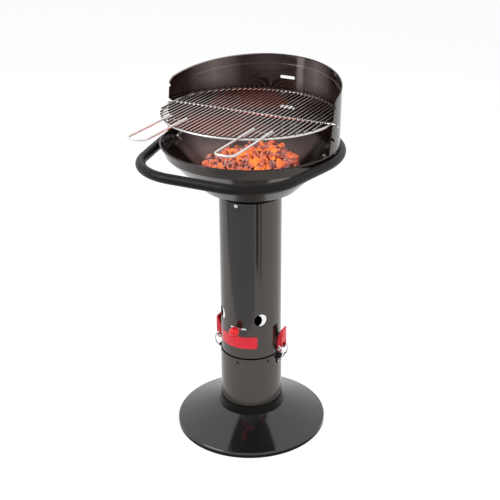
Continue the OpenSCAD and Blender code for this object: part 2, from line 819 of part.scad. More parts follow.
// Handle ring: lengths of tube that stop just short of each other, joined by weld beads
module rail_profile(r, q) {
  difference() {
    circle(r = r, $fn = 48);
    circle(r = q, $fn = 48);
  }
}

module rail_arc(c, r, from, to) {
  stop = weld_gap / r * 180 / PI;
  translate([c[0], c[1], rail_z]) rotate([0, 0, from + stop]) rotate_extrude(angle = to - from - 2 * stop)
    translate([r, 0]) rail_profile(rail_tube_r, rail_tube_r - rail_wall);
}

module rail_straight(p, q) {
  d = q - p;
  translate([p[0], p[1], rail_z]) rotate([0, 90, atan2(d[1], d[0])]) translate([0, 0, weld_gap])
    linear_extrude(height = norm(d) - 2 * weld_gap) rail_profile(rail_tube_r, rail_tube_r - rail_wall);
}

module rail_weld(p, a) {
  translate([p[0], p[1], rail_z]) rotate([0, 90, a]) linear_extrude(height = 2, center = true)
    rail_profile(rail_tube_r + weld_h, rail_tube_r - rail_wall - weld_h);
}

module handle_ring() {
  color("#232426") difference() {
    union() {
      rail_arc([0, 0], rail_ring_r, -rail_splay, 180 + rail_splay);
      rail_straight([-rail_xc, -rail_front], [rail_xc, -rail_front]);
      for (s = [-1, 1]) {
        c = [s * rail_xc, rail_yc];
        out = [s * cos(rail_splay), -sin(rail_splay)];
        rail_straight(rail_ring_r * out, c + rail_corner_r * out);
        rail_arc(c, rail_corner_r, s > 0 ? -90 : 180 + rail_splay, s > 0 ? -rail_splay : 270);
        for (p = [rail_ring_r * out, c + rail_corner_r * out])
          rail_weld(p, atan2(out[1], out[0]) + 90);
        rail_weld([s * rail_xc, -rail_front], 0);
      }
    }
    for (a = screw_azimuths)
      radial(a, rail_z, rail_ring_r - rail_tube_r - 1, rail_ring_r - 5, insert_r);
  }
}

module rail_inserts() {
  color("silver") for (a = screw_azimuths)
    difference() {
      radial(a, rail_z, insert_start, insert_start + insert_l, insert_r);
      radial(a, rail_z, insert_start - 1, insert_start + insert_l + 1, screw_r);
    }
}

// The wings lean towards the middle of the bowl
module wing_shape() {
  for (s = [0, 1])
    mirror([0, s]) {
      translate([-11.5, 9]) circle(r = 5, $fn = 32);
      polygon([[-1, 0], [-1, 5.8], [-8.5, 12.9], [-14.5, 5.2], [-7, 0]]);
    }
}

module wing_screws() {
  color("silver") for (a = screw_azimuths) {
    radial(a, rail_z, wing_face_r - wing_hub_l, insert_start + insert_l - 1, screw_r);
    radial(a, rail_z, wing_face_r - wing_hub_l, wing_face_r, wing_hub_r);
    at_azimuth(a) rotate([0, 0, -90]) rotate([90, 0, 0]) linear_extrude(height = wing_t, center = true)
      translate([wing_face_r, rail_z]) wing_shape();
  }
}

// Windscreen
screen_path = [
  [flange_low_r, screen_flange_z], [flange_top_r, flange_bend_z], [flange_top_r, screen_foot_z],
  [screen_foot_r, screen_foot_z], [screen_at(screen_top_z + 5), screen_top_z + 5]
];
function edge_y(z) = -screen_reach * (screen_edge_z(0) - z) / (screen_edge_z(0) - screen_foot_z);

// A prism along X from an outline in Y and height
module along_x() {
  rotate([90, 0, 90]) linear_extrude(height = 2 * far_r, center = true) children();
}

module above_top_edge(drop) {
  along_x() polygon([
    [-far_r, screen_edge_z(-far_r) - drop], [far_r, screen_edge_z(far_r) - drop],
    [far_r, screen_top_z + 100], [-far_r, screen_top_z + 100]
  ]);
}

module before_front_edge() {
  along_x() polygon([
    [-far_r, screen_flange_z - 10], [edge_y(screen_flange_z - 10), screen_flange_z - 10],
    [edge_y(screen_edge_z(0) - 6), screen_edge_z(0) - 6], [14, screen_edge_z(14)],
    [14, screen_top_z + 100], [-far_r, screen_top_z + 100]
  ]);
}

module screen_notch() {
  along_x() {
    circle(r = notch_r, $fn = 48);
    rotate(180 - notch_slope) translate([0, -notch_r]) square([50, 2 * notch_r]);
  }
}

module rear_slot() {
  half = tongue_half + tongue_r + slot_end_gap - slot_h / 2;
  rotate([-90, 0, 0]) linear_extrude(height = far_r) {
    for (s = [-1, 1])
      translate([s * half, 0]) circle(r = slot_h / 2, $fn = 48);
    translate([-half, -slot_h / 2]) square([2 * half, slot_h]);
  }
}

module screen_shell(path, t) {
  rotate([0, 0, -screen_wrap]) rotate_extrude(angle = 180 + 2 * screen_wrap) polygon(sheet(path, t));
}

module windscreen() {
  color("#77797d") difference() {
    union() {
      screen_shell(screen_path, screen_t);
      intersection() {
        screen_shell([screen_path[3] + [0, 60], screen_path[4]], screen_t + lip_w);
        above_top_edge(lip_h);
      }
    }
    above_top_edge(0);
    before_front_edge();
    for (k = [-1, 0, 1]) {
      translate([0, 0, grid_z + k * notch_step]) screen_notch();
      translate([0, 0, slot_z + k * notch_step]) rear_slot();
    }
    for (a = screw_azimuths)
      radial(a, rail_z, flange_low_r - 20, far_r, screw_r + screw_gap);
  }
}

// Grid
module grid_ring() {
  color("#c9cbcd") rotate_extrude() translate([grid_ring_r, grid_z]) circle(r = grid_wire_r, $fn = 32);
}

module grid_bars() {
  color("#c9cbcd") for (i = [-bars_each_side:bars_each_side]) {
    half = sqrt((grid_ring_r + grid_wire_r - 1) ^ 2 - (i * bar_pitch) ^ 2);
    translate([i * bar_pitch, 0, bar_z]) rotate([90, 0, 0])
      cylinder(r = bar_r, h = 2 * half, center = true, $fn = 32);
  }
}

// The rod is welded to the inside and the outside of the ring
module grid_cross_rod() {
  inner = grid_ring_r - grid_wire_r - 2 * weld_gap;
  outer = grid_ring_r + grid_wire_r + 2 * weld_gap;
  bend = [rod_half, 0, grid_z];
  color("#c9cbcd") {
    wire([-inner, 0, grid_z], [inner, 0, grid_z], grid_wire_r);
    wire([-rod_half, 0, grid_z], [-outer, 0, grid_z], grid_wire_r);
    wire([outer, 0, grid_z], bend, grid_wire_r);
    elbow(bend, grid_wire_r);
    wire(bend, bend + [rod_hook_out, -rod_hook, 0], grid_wire_r);
  }
}

// The tongue slopes down through the rear slot, along the line of the notches
module grid_tongue() {
  slope = [0, cos(notch_slope), -sin(notch_slope)];
  near = [0, tongue_start, grid_z];
  far = near + tongue_l * slope;
  color("#c9cbcd") {
    for (s = [-1, 1]) {
      side = [s * tongue_half, 0, 0];
      wire(near + side, far + side, tongue_r);
      elbow(far + side, tongue_r);
    }
    wire(far - [tongue_half, 0, 0], far + [tongue_half, 0, 0], tongue_r);
  }
}

// A wire loop between the bars: two wires and a front with round corners
module grid_loop(x_from, reach) {
  w = loop_pitches * bar_pitch;
  corner_y = -(reach - loop_r - loop_corner_r);
  front_y = corner_y - loop_corner_r;
  translate([x_from, 0, loop_z]) {
    for (x = [0, w])
      wire([x, -loop_inner, 0], [x, corner_y, 0], loop_r);
    translate([loop_corner_r, corner_y, 0]) rotate([0, 0, 180]) loop_corner();
    translate([w - loop_corner_r, corner_y, 0]) rotate([0, 0, 270]) loop_corner();
    wire([loop_corner_r, front_y, 0], [w - loop_corner_r, front_y, 0], loop_r);
  }
}

module loop_corner() {
  rotate_extrude(angle = 90) translate([loop_corner_r, 0]) circle(r = loop_r, $fn = 32);
}

module grid_handle_left() {
  color("#c9cbcd") grid_loop(-loop_left * bar_pitch, loop_reach_left);
}

module grid_handle_right() {
  color("#c9cbcd") grid_loop(loop_right * bar_pitch, loop_reach_right);
}

module grid_cross_wires() {
  y = -loop_inner - 4;
  color("#c9cbcd") for (x = [-loop_left * bar_pitch, loop_right * bar_pitch])
    wire([x - 8, y, cross_z], [x + loop_pitches * bar_pitch + 8, y, cross_z], cross_r);
}

base_plate();
base_bolts();
base_nuts();
tube_collar();
lower_tube();
stop_rivets();
upper_tube();
label_plate();
air_ring();
knob_screw();
knob_ball();
latch_plate_left();
latch_plate_right();
latch_rivets();
lever_pins();
latch_lever_left();
latch_lever_right();
latch_bail_left();
latch_bail_right();
catch_left();
catch_right();
bowl();
neck_bolts();
neck_nuts();
charcoal_grate();
charcoal_bed();
handle_ring();
rail_inserts();
wing_screws();
windscreen();
grid_ring();
grid_bars();
grid_cross_rod();
grid_tongue();
grid_handle_left();
grid_handle_right();
grid_cross_wires();
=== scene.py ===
import math
import random
import bmesh
import bpy
from mathutils import Matrix, Vector


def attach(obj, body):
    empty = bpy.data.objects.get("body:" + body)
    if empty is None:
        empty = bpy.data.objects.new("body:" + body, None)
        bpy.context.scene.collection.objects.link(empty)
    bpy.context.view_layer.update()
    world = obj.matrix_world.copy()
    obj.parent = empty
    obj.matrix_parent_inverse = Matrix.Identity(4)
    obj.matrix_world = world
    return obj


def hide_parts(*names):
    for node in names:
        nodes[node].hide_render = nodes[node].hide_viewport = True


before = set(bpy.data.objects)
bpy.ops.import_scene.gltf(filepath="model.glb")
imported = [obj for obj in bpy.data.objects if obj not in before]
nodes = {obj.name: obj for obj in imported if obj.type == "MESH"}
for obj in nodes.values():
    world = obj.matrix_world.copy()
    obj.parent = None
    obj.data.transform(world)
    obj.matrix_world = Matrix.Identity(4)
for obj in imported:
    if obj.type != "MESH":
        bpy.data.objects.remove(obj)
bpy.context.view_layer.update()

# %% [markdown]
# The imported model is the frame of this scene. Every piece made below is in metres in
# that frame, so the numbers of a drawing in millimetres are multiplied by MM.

MM = 0.001
bpy.context.scene.view_settings.view_transform = "Standard"

def shown(name, data):
    obj = bpy.data.objects.new(name, data)
    bpy.context.collection.objects.link(obj)
    return obj

def polar(radius, turn, z):
    return radius * math.cos(turn), radius * math.sin(turn), z

print("nodes in the frame:", len(nodes))

# %% [markdown]
# The camera looks a little down on the grill from the front right. It could be aimed by
# eye, but a measured position and three axes give the photograph's view exactly. The
# sensor shift moves the picture's middle off the lens axis, as a cropped photograph does.

# %% Camera
CAMERA_PLACE = (1.0817, -2.1547, 1.6159)
RIGHT_AXIS = (0.92011, 0.39104, 0.02203)
UP_AXIS = (-0.17996, 0.37213, 0.91057)
BACK_AXIS = (0.34787, -0.84179, 0.41277)
lens = bpy.data.cameras.new("camera")
lens.lens, lens.sensor_width = 71.28, 36
lens.shift_x, lens.clip_end = -0.134, 50
camera = shown("camera", lens)
turn = Matrix((RIGHT_AXIS, UP_AXIS, BACK_AXIS)).transposed().to_4x4()
camera.matrix_world = Matrix.Translation(CAMERA_PLACE) @ turn
bpy.context.scene.camera = camera
print("camera height", round(camera.location.z, 3), "m")

# %% [markdown]
# Sky, floor, paints and Geometry Nodes are all small nodes joined by links. Each node,
# value and link could have a line of its own, but that hides the idea in typing. So one
# helper feeds a node its values or links, one adds a node, and one does a sum.

# %% Node helpers
def feed(tree, node, inputs):
    for key, value in inputs.items():
        if isinstance(value, bpy.types.NodeSocket):
            tree.links.new(value, node.inputs[key])
        else:
            node.inputs[key].default_value = value
    return node

def add(tree, kind, inputs=(), **settings):
    node = tree.nodes.new(kind)
    for key, value in settings.items():
        setattr(node, key, value)
    return feed(tree, node, dict(inputs))

def math_node(tree, operation, *values):
    return add(tree, "ShaderNodeMath", enumerate(values), operation=operation).outputs[0]

def emptied(owner):
    owner.use_nodes = True
    owner.node_tree.nodes.clear()
    return owner.node_tree

print("node helpers: feed, add, math_node, emptied")

# %% [markdown]
# A plain studio: one pale floor and a white sky. The sky's white is only for the camera
# and for reflections, so the lamps alone set how bright the object is. The floor mixes
# a little of the same white in for the camera, and still shows the object's shadow.

# %% Seen directly or in a reflection
def seen(tree):
    rays = add(tree, "ShaderNodeLightPath").outputs
    direct = math_node(tree, "MAXIMUM", rays["Is Camera Ray"], rays["Is Glossy Ray"])
    return math_node(tree, "MAXIMUM", direct, rays["Is Transmission Ray"])

print("rays that see the studio: camera, glossy and transmission")

# %% Sky
WHITE, LIT_LEVEL, SEEN_LEVEL = (1, 1, 1, 1), 0.45, 1.0
world = bpy.data.worlds.new("studio")
bpy.context.scene.world = world
sky = emptied(world)
soft = add(sky, "ShaderNodeBackground", {"Color": WHITE, "Strength": LIT_LEVEL})
white = add(sky, "ShaderNodeBackground", {"Color": WHITE, "Strength": SEEN_LEVEL})
blend = add(sky, "ShaderNodeMixShader", {0: seen(sky), 1: soft.outputs[0], 2: white.outputs[0]})
add(sky, "ShaderNodeOutputWorld", {0: blend.outputs[0]})
print("sky: level", LIT_LEVEL, "as a light and", SEEN_LEVEL, "where it is seen")

# %% Floor
FLOOR_HALF, FLOOR_GLOW, FLOOR_SHARE = 12, 1.13, 0.78

def floor_material():
    mat = bpy.data.materials.new("floor")
    tree = emptied(mat)
    matt = add(tree, "ShaderNodeBsdfDiffuse", {"Color": (0.86, 0.86, 0.86, 1)})
    glow = add(tree, "ShaderNodeEmission", {"Strength": FLOOR_GLOW})
    share = math_node(tree, "MULTIPLY", seen(tree), FLOOR_SHARE)
    mix = add(tree, "ShaderNodeMixShader", {0: share, 1: matt.outputs[0], 2: glow.outputs[0]})
    add(tree, "ShaderNodeOutputMaterial", {0: mix.outputs[0]})
    return mat

def flat(name, corners, z, material):
    mesh = bpy.data.meshes.new(name)
    mesh.from_pydata([(x, y, z) for x, y in corners], [], [tuple(range(len(corners)))])
    mesh.materials.append(material)
    return shown(name, mesh)

floor_corners = [(x * FLOOR_HALF, y * FLOOR_HALF) for x, y in ((-1, -1), (1, -1), (1, 1), (-1, 1))]
floor = flat("floor", floor_corners, 0, floor_material())
print("floor:", 2 * FLOOR_HALF, "m wide")

# %% Lamps
LAMPS_AIM = Vector((0, 0, 0.55))

def lamp(name, place, size, power):
    light = bpy.data.lights.new(name, "AREA")
    light.shape = "RECTANGLE"
    light.size, light.size_y = size
    light.energy = power
    obj = shown(name, light)
    obj.location = place
    obj.rotation_euler = (LAMPS_AIM - Vector(place)).to_track_quat("-Z", "Y").to_euler()
    return obj

lamp("key", (-2.2, -2.4, 3.0), (1.6, 2.2), 70)
lamp("fill", (2.8, -1.2, 1.8), (1.4, 2.4), 35).visible_glossy = False
lamp("back", (0.6, 2.8, 2.6), (2.4, 1.2), 40).visible_glossy = False
print("lamps: key, fill and back")

# %% [markdown]
# A glossy tube shows the room it stands in. The dark streaks up the photograph's column
# are the studio's own dark things in front of it, so four flat cards lie there, outside
# the picture. A fifth hangs over the coals, for the fire's red glow in the windscreen.
# They are seen in reflections only and take no light from the object.

# %% Cards seen in the gloss
def card(name, corners, level, height=0.004):
    mat = bpy.data.materials.new(name)
    tree = emptied(mat)
    glow = add(tree, "ShaderNodeEmission", {"Color": (*level, 1)})
    add(tree, "ShaderNodeOutputMaterial", {0: glow.outputs[0]})
    obj = flat(name, corners, height, mat)
    obj.visible_camera = obj.visible_diffuse = obj.visible_shadow = False

fire_disc = [polar(0.10, k * math.pi / 8, 0)[:2] for k in range(16)]
card("card_wide", [(-3.0, -0.62), (-3.0, -3.4), (2.9, -3.4), (0.50, -0.62)], (0.57, 0.62, 0.70))
card("card_dark", [(0.795, -0.80), (2.01, -1.88), (2.27, -1.56), (0.905, -0.66)], (0.02, 0.02, 0.02))
card("card_narrow", [(0.89, -0.52), (2.125, -1.22), (2.255, -0.93), (0.93, -0.43)], (0.35, 0.34, 0.33))
card("card_left", [(-1.10, -0.60), (-2.4, -1.24), (-2.3, -1.42), (-1.04, -0.69)], (0.12, 0.12, 0.12))
card("card_fire", fire_disc, (2.6, 0.28, 0.08), 0.812)
print("cards laid out")

# %% [markdown]
# Every finish is a small node tree. A paint is never one flat colour: a broad noise
# shades it a little, a fine one is the orange peel of the spray gun in the bump, and a
# stretched one is the faint rub marks in the roughness. One builder makes them all, and
# the values that are the same everywhere are set on the shader itself.

# %% Finish builder
def tree_of(name):
    mat = bpy.data.materials.new(name)
    tree = emptied(mat)
    shader = add(tree, "ShaderNodeBsdfPrincipled")
    add(tree, "ShaderNodeOutputMaterial", {0: shader.outputs[0]})
    return mat, tree, shader, add(tree, "ShaderNodeTexCoord").outputs["Object"]

def noise(tree, coords, scale, detail=3.0, stretch=(1, 1, 1)):
    place = add(tree, "ShaderNodeMapping", {"Vector": coords, "Scale": stretch})
    field = {"Vector": place.outputs[0], "Scale": scale, "Detail": detail}
    return add(tree, "ShaderNodeTexNoise", field).outputs["Fac"]

def ranged(tree, value, low, high, to_low, to_high):
    limits = {"From Min": low, "From Max": high, "To Min": to_low, "To Max": to_high}
    return add(tree, "ShaderNodeMapRange", {"Value": value, **limits}).outputs["Result"]

def mixed(tree, share, first, second):
    node = add(tree, "ShaderNodeMix", {0: share}, data_type="RGBA")
    spots = [k for k, socket in enumerate(node.inputs) if socket.type == "RGBA"]
    colours = [(*c, 1) if isinstance(c, tuple) else c for c in (first, second)]
    feed(tree, node, dict(zip(spots, colours)))
    return [socket for socket in node.outputs if socket.type == "RGBA"][0]

def split(tree, coords):
    return add(tree, "ShaderNodeSeparateXYZ", {0: coords}).outputs

def from_axis(tree, coords):
    parts = split(tree, coords)
    squares = [math_node(tree, "POWER", parts[axis], 2.0) for axis in "XY"]
    return math_node(tree, "SQRT", math_node(tree, "ADD", *squares)), parts["Z"]

def bumped(tree, shader, height, strength, distance):
    node = add(tree, "ShaderNodeBump", {"Height": height, "Strength": strength, "Distance": distance})
    feed(tree, shader, {"Normal": node.outputs[0]})

print("every finish starts from one shader and Object coordinates")

# %% Paint, metal and plastic
# Painted shadow: black bands on the column where the upper tube enters the lower one and under the bowl's
# neck.
TUBE_SHADOW_GAPS, TUBE_OUTER = ((0.2328, 0.0019), (0.6861, 0.0014)), 0.0821
INSIDE_FROM = (0.240, 0.2402)

def paint(name, colour, worn, rough, peel=0.12, grain=900.0, metal=0.0, coat=0.0, spread=0.07, shine=0.5,
          below=None, highlight_beside=None, dull_below=None, shadow_gaps=(), outer=None, tint=(1.0, 1.0, 1.0)):
    mat, tree, shader, coords = tree_of(name)
    parts = split(tree, coords)
    broad = noise(tree, coords, 7.0)
    rubs = noise(tree, coords, 30.0, 4.0, (1.0, 1.0, 0.25))
    specks = noise(tree, coords, 420.0, 2.0)
    base = mixed(tree, ranged(tree, broad, 0.3, 0.7, 0.0, 1.0), colour, tuple(0.82 * c for c in colour))
    gloss = shine
    # Painted light: below a given height a piece takes another colour, which paints shade on the wires'
    # undersides. On the low X side it takes another colour, which paints a highlight on the hem's left part.
    for axis, other in (("Z", below), ("X", highlight_beside)):
        if other:
            low, high, there = other
            base = mixed(tree, ranged(tree, parts[axis], low, high, 1.0, 0.0), base, there)
    if dull_below:
        gloss = ranged(tree, parts["Z"], *dull_below, 0.06, shine)
    # Painted shade: inside the upper tube and on the cut edges of its holes the paint turns black and loses
    # its gloss. So do the bands of painted shadow at the gaps between parts.
    if shadow_gaps:
        dark = ranged(tree, from_axis(tree, coords)[0], outer - 0.0003, outer - 0.0001, 1.0, 0.0)
        dark = math_node(tree, "MULTIPLY", dark, ranged(tree, parts["Z"], *INSIDE_FROM, 0.0, 1.0))
        for middle, half in shadow_gaps:
            line = math_node(tree, "COMPARE", parts["Z"], middle, half)
            dark = math_node(tree, "MAXIMUM", dark, line)
        base = mixed(tree, dark, base, (0.001, 0.001, 0.001))
        gloss = ranged(tree, dark, 0.0, 1.0, shine, 0.0)
    feed(tree, shader, {
        "Base Color": mixed(tree, ranged(tree, specks, 0.68, 0.8, 0.0, 0.35), base, worn),
        "Roughness": ranged(tree, rubs, 0.35, 0.75, rough, rough + spread),
        "Specular IOR Level": gloss, "Specular Tint": (*tint, 1),
        "Metallic": metal, "Coat Weight": coat, "Coat Roughness": 0.06})
    bumped(tree, shader, noise(tree, coords, grain, 2.0), peel, 0.0003)
    return mat

# %% Colours of this grill
warm = (1.0, 0.92, 0.87)
# Heat tint and painted shade: the wires take this brown on their undersides and only their tops stay bright,
# as if lit from above. It is also their wear colour.
burn_and_shade = (0.09, 0.055, 0.04)
enamel = paint("dark_enamel", (0.026, 0.014, 0.011), (0.05, 0.035, 0.03), 0.07, spread=0.03, shine=0.5,
               peel=0.04, tint=warm)
black_gloss = paint("black_gloss", (0.010, 0.010, 0.011), (0.05, 0.05, 0.05), 0.07, peel=0.06, shine=0.85,
                    dull_below=(0.0085, 0.0105))
collar_black = paint("collar_black", (0.004, 0.004, 0.003), (0.02, 0.02, 0.02), 0.10, peel=0.06, shine=0.10)
tube_paint = paint("tube_enamel", (0.020, 0.0165, 0.0145), (0.05, 0.045, 0.042), 0.11, spread=0.03,
                   shine=0.84, peel=0.04, tint=warm, shadow_gaps=TUBE_SHADOW_GAPS, outer=TUBE_OUTER)
soft_black = paint("powder_black", (0.008, 0.0065, 0.005), (0.03, 0.026, 0.022), 0.38, peel=0.3, grain=1600.0,
                   shine=0.18)
red_paint = paint("red_enamel", (0.90, 0.012, 0.035), (0.60, 0.08, 0.09), 0.24, coat=0.15, shine=0.35)
red_plastic = paint("red_plastic", (0.92, 0.008, 0.015), (0.70, 0.03, 0.04), 0.20, grain=500.0, coat=0.2,
                    shine=0.4)
# The hem's left part is lighter grey: a painted highlight of the lamp on the rolled edge.
hem_enamel = paint("hem_enamel", (0.03, 0.025, 0.022), (0.10, 0.09, 0.085), 0.15, shine=0.8, peel=0.04,
                   highlight_beside=(-0.13, -0.06, (0.34, 0.31, 0.30)))
chrome = paint("chrome_wire", (0.50, 0.47, 0.45), (0.30, 0.22, 0.17), 0.14, peel=0.10, metal=1.0)
bar_wire = paint("bar_wire", (0.76, 0.71, 0.69), burn_and_shade, 0.26, metal=1.0, below=(0.9064, 0.9080, burn_and_shade))
loop_wire = paint("loop_wire", (0.92, 0.89, 0.87), burn_and_shade, 0.22, metal=1.0, below=(0.9046, 0.9060, burn_and_shade))
hoop_wire = paint("hoop_wire", (0.80, 0.77, 0.75), burn_and_shade, 0.25, metal=1.0, below=(0.8982, 0.9000, burn_and_shade))
polished = paint("polished_ring", (0.95, 0.95, 0.95), (0.80, 0.80, 0.80), 0.14, peel=0.05, metal=1.0)
zinc = paint("zinc", (0.58, 0.58, 0.60), (0.34, 0.32, 0.30), 0.30, peel=0.2, metal=1.0)
print("paints and metals mixed, the last is", zinc.name)

# %% [markdown]
# Inside the bowl the enamel is paler round the fire: partly fine ash and heat that have
# dulled it, partly a painted reflection of the glow. The mask for it needs no painting:
# on the cone's inner face, height less radius is a fixed number, and the outer face lies
# below that, so one comparison separates the two sides.

# %% Enamel with ash and painted reflections
def ramped(tree, value, stops):
    ramp = add(tree, "ShaderNodeValToRGB", {0: value})
    spots = ramp.color_ramp.elements
    spots.remove(spots[1])
    spots[0].position, spots[0].color = stops[0][0], (*stops[0][1], 1)
    for place, colour in stops[1:]:
        spots.new(place).color = (*colour, 1)
    return ramp.outputs[0]

def product(tree, first, *others):
    for other in others:
        first = math_node(tree, "MULTIPLY", first, other)
    return first

def toward(tree, parts, radius, x, y):
    sides = [math_node(tree, "MULTIPLY", parts[axis], share) for axis, share in (("X", x), ("Y", y))]
    return math_node(tree, "DIVIDE", math_node(tree, "ADD", *sides), radius)

def bowl_paint():
    mat, tree, shader, coords = tree_of("bowl_enamel")
    radius, height = from_axis(tree, coords)
    parts = split(tree, coords)
    inner = ranged(tree, math_node(tree, "SUBTRACT", height, radius), 0.5842, 0.5848, 0.0, 1.0)
    near_fire = ranged(tree, height, 0.765, 0.800, 1.0, 0.35)
    cloud = ranged(tree, noise(tree, coords, 9.0, 5.0), 0.30, 0.66, 0.45, 1.0)
    behind = ranged(tree, toward(tree, parts, radius, -0.51, 0.86), 0.40, 0.50, 0.04, 1.0)
    lightest = ranged(tree, toward(tree, parts, radius, -0.88, 0.47), 0.93, 0.99, 0.0, 1.0)
    # Partly ash, partly painted reflection: this pale mask lightens the inner face near the fire, in one
    # sector of the bowl.
    ash = product(tree, inner, near_fire, cloud, behind)
    ash_and_reflection_colour = mixed(tree, lightest, (0.24, 0.19, 0.185), (0.48, 0.42, 0.42))
    feed(tree, shader, {
        "Base Color": mixed(tree, ash, (0.014, 0.009, 0.0075), ash_and_reflection_colour),
        "Roughness": ranged(tree, ash, 0.0, 0.8, 0.14, 0.5), "Specular Tint": (*warm, 1)})
    bumped(tree, shader, noise(tree, coords, 900.0, 2.0), 0.08, 0.0003)
    return mat

# Painted reflections inside the windscreen: paler vertical bands at these turns, in degrees, stand in for the
# grid and the studio seen in the enamel.
PAINTED_REFLECTION_STOPS = ((50, 0), (67, 0.8), (77, 0.2), (79, 1), (82, 1), (84, 0), (122, 0), (141, 0.9), (162, 0))

def screen_paint():
    mat, tree, shader, coords = tree_of("screen_enamel")
    radius, height = from_axis(tree, coords)
    parts = split(tree, coords)
    turned = math_node(tree, "DIVIDE", math_node(tree, "ARCTAN2", parts["Y"], parts["X"]), math.pi)
    lean = math_node(tree, "MULTIPLY", math_node(tree, "SUBTRACT", height, 0.8288), 0.0111)
    inner = ranged(tree, math_node(tree, "SUBTRACT", radius, lean), 0.2281, 0.2284, 1.0, 0.0)
    # Painted reflection: the bands are laid on the inner face only, high up on the sheet.
    painted_reflection = product(tree, inner, ramped(tree, turned, [(a / 180, (h, h, h)) for a, h in PAINTED_REFLECTION_STOPS]),
                   ranged(tree, height, 0.895, 0.935, 0.0, 1.0))
    feed(tree, shader, {
        "Base Color": mixed(tree, painted_reflection, (0.015, 0.007, 0.005), (0.22, 0.19, 0.18)),
        "Roughness": ranged(tree, noise(tree, coords, 30.0, 4.0), 0.35, 0.75, 0.07, 0.10),
        "Specular Tint": (*warm, 1)})
    bumped(tree, shader, noise(tree, coords, 900.0, 2.0), 0.04, 0.0003)
    return mat

bowl_enamel, screen_enamel = bowl_paint(), screen_paint()
print("finishes:", len(bpy.data.materials))

# %% [markdown]
# Two kinds of helper make most of the metal pieces. A bent piece is a tube or wire pushed
# along a path, as on a bending machine, and a turned one is an outline spun round its own
# axis, as on a lathe. Both are written point by point, so their normals and seams are
# under control. Merging doubles closes the poles.

# %% Mesh helpers
def soften(mesh, sharp=32.0):
    mesh.shade_smooth()
    mesh.set_sharp_from_angle(angle=math.radians(sharp))

def plain(name, points, faces, material):
    mesh = bpy.data.meshes.new(name)
    mesh.from_pydata([Vector(p) * MM for p in points], [], faces)
    mesh.materials.append(material)
    return shown(name, mesh)

def piece(name, points, faces, material, sharp=32.0):
    obj = plain(name, points, faces, material)
    grown = bmesh.new()
    grown.from_mesh(obj.data)
    bmesh.ops.remove_doubles(grown, verts=grown.verts, dist=0.00001)
    bmesh.ops.recalc_face_normals(grown, faces=grown.faces)
    grown.to_mesh(obj.data)
    grown.free()
    soften(obj.data, sharp)
    return obj

print("a sharp edge starts at 32 degrees")

# %% Bent tubes and wires
def frames_along(path, closed):
    ways, sides = [], []
    for i in range(len(path)):
        before = path[i - 1] if i or closed else path[0]
        after = path[(i + 1) % len(path)] if i < len(path) - 1 or closed else path[-1]
        ways.append((after - before).normalized())
    side = ways[0].orthogonal().normalized()
    for way in ways:
        side = (side - way * side.dot(way)).normalized()
        sides.append(side)
    return ways, sides

def domed(ring, radius, inward):
    place, way, side, _ = ring
    return [(place + way * radius * t * inward, way, side, radius * k)
            for t, k in ((0.0, 0.18), (0.10, 0.5), (0.3, 0.78), (0.6, 0.95))]

def bent(path, radius, closed=False, around=16):
    path = [Vector(p) for p in path]
    rings = [(p, w, s, radius) for p, w, s in zip(path, *frames_along(path, closed))]
    if not closed:
        rings = domed(rings[0], radius, 0.5) + rings[1:-1] + domed(rings[-1], radius, -0.5)[::-1]
    points, faces = [], []
    for place, way, side, r in rings:
        other = way.cross(side)
        for k in range(around):
            a = 2 * math.pi * k / around
            points.append(place + side * r * math.cos(a) + other * r * math.sin(a))
    count = len(rings)
    for i in range(count if closed else count - 1):
        a, b = i * around, (i + 1) % count * around
        faces += [(a + k, a + (k + 1) % around, b + (k + 1) % around, b + k) for k in range(around)]
    if not closed:
        faces += [tuple(range(around)), tuple((count - 1) * around + k for k in range(around))]
    return points, faces

def joined(parts):
    points, faces = [], []
    for more_points, more_faces in parts:
        base = len(points)
        points += more_points
        faces += [tuple(base + i for i in face) for face in more_faces]
    return points, faces

def swung(middle, start, end, steps):
    sweep = start.angle(end)
    shares = [(math.sin((1 - k / steps) * sweep), math.sin(k / steps * sweep)) for k in range(steps + 1)]
    return [middle + (start * s + end * e) / math.sin(sweep) for s, e in shares]

def rounded(corners, radius, steps=8):
    corners = [Vector(c) for c in corners]
    path = [corners[0]]
    for before, corner, after in zip(corners, corners[1:], corners[2:]):
        a, b = (before - corner).normalized(), (after - corner).normalized()
        half = a.angle(b) / 2
        reach = radius / math.tan(half)
        middle = corner + (a + b).normalized() * radius / math.sin(half)
        path += swung(middle, corner + a * reach - middle, corner + b * reach - middle, steps)
    return path + [corners[-1]]

def ring_path(radius, z, steps=180):
    return [polar(radius, 2 * math.pi * i / steps, z) for i in range(steps)]

print("helpers for bent tubes: bent, rounded, swung and ring_path")

# %% [markdown]
# Rivets, screws and bolts repeat round the column. A small node tree puts one master
# shape on points of a circle and turns it to face outwards, so the count, the radius and
# the height are inputs. Realize Instances makes them real, and the evaluated object is
# turned into a plain mesh before it is tied to its body.

# %% Geometry Nodes: a ring of copies
def tree_with(name, **kinds):
    tree = bpy.data.node_groups.new(name, "GeometryNodeTree")
    for key, (kind, value) in kinds.items():
        socket = tree.interface.new_socket(key, in_out="INPUT", socket_type="NodeSocket" + kind)
        if value is not None:
            socket.default_value = value
    tree.interface.new_socket("Geometry", in_out="OUTPUT", socket_type="NodeSocketGeometry")
    return tree, tree.nodes.new("NodeGroupInput").outputs

def finished(tree, geometry, given):
    real = add(tree, "GeometryNodeRealizeInstances", {0: geometry})
    coat = {"Geometry": real.outputs[0], "Material": given["Material"]}
    add(tree, "NodeGroupOutput", {0: add(tree, "GeometryNodeSetMaterial", coat).outputs[0]})
    return tree

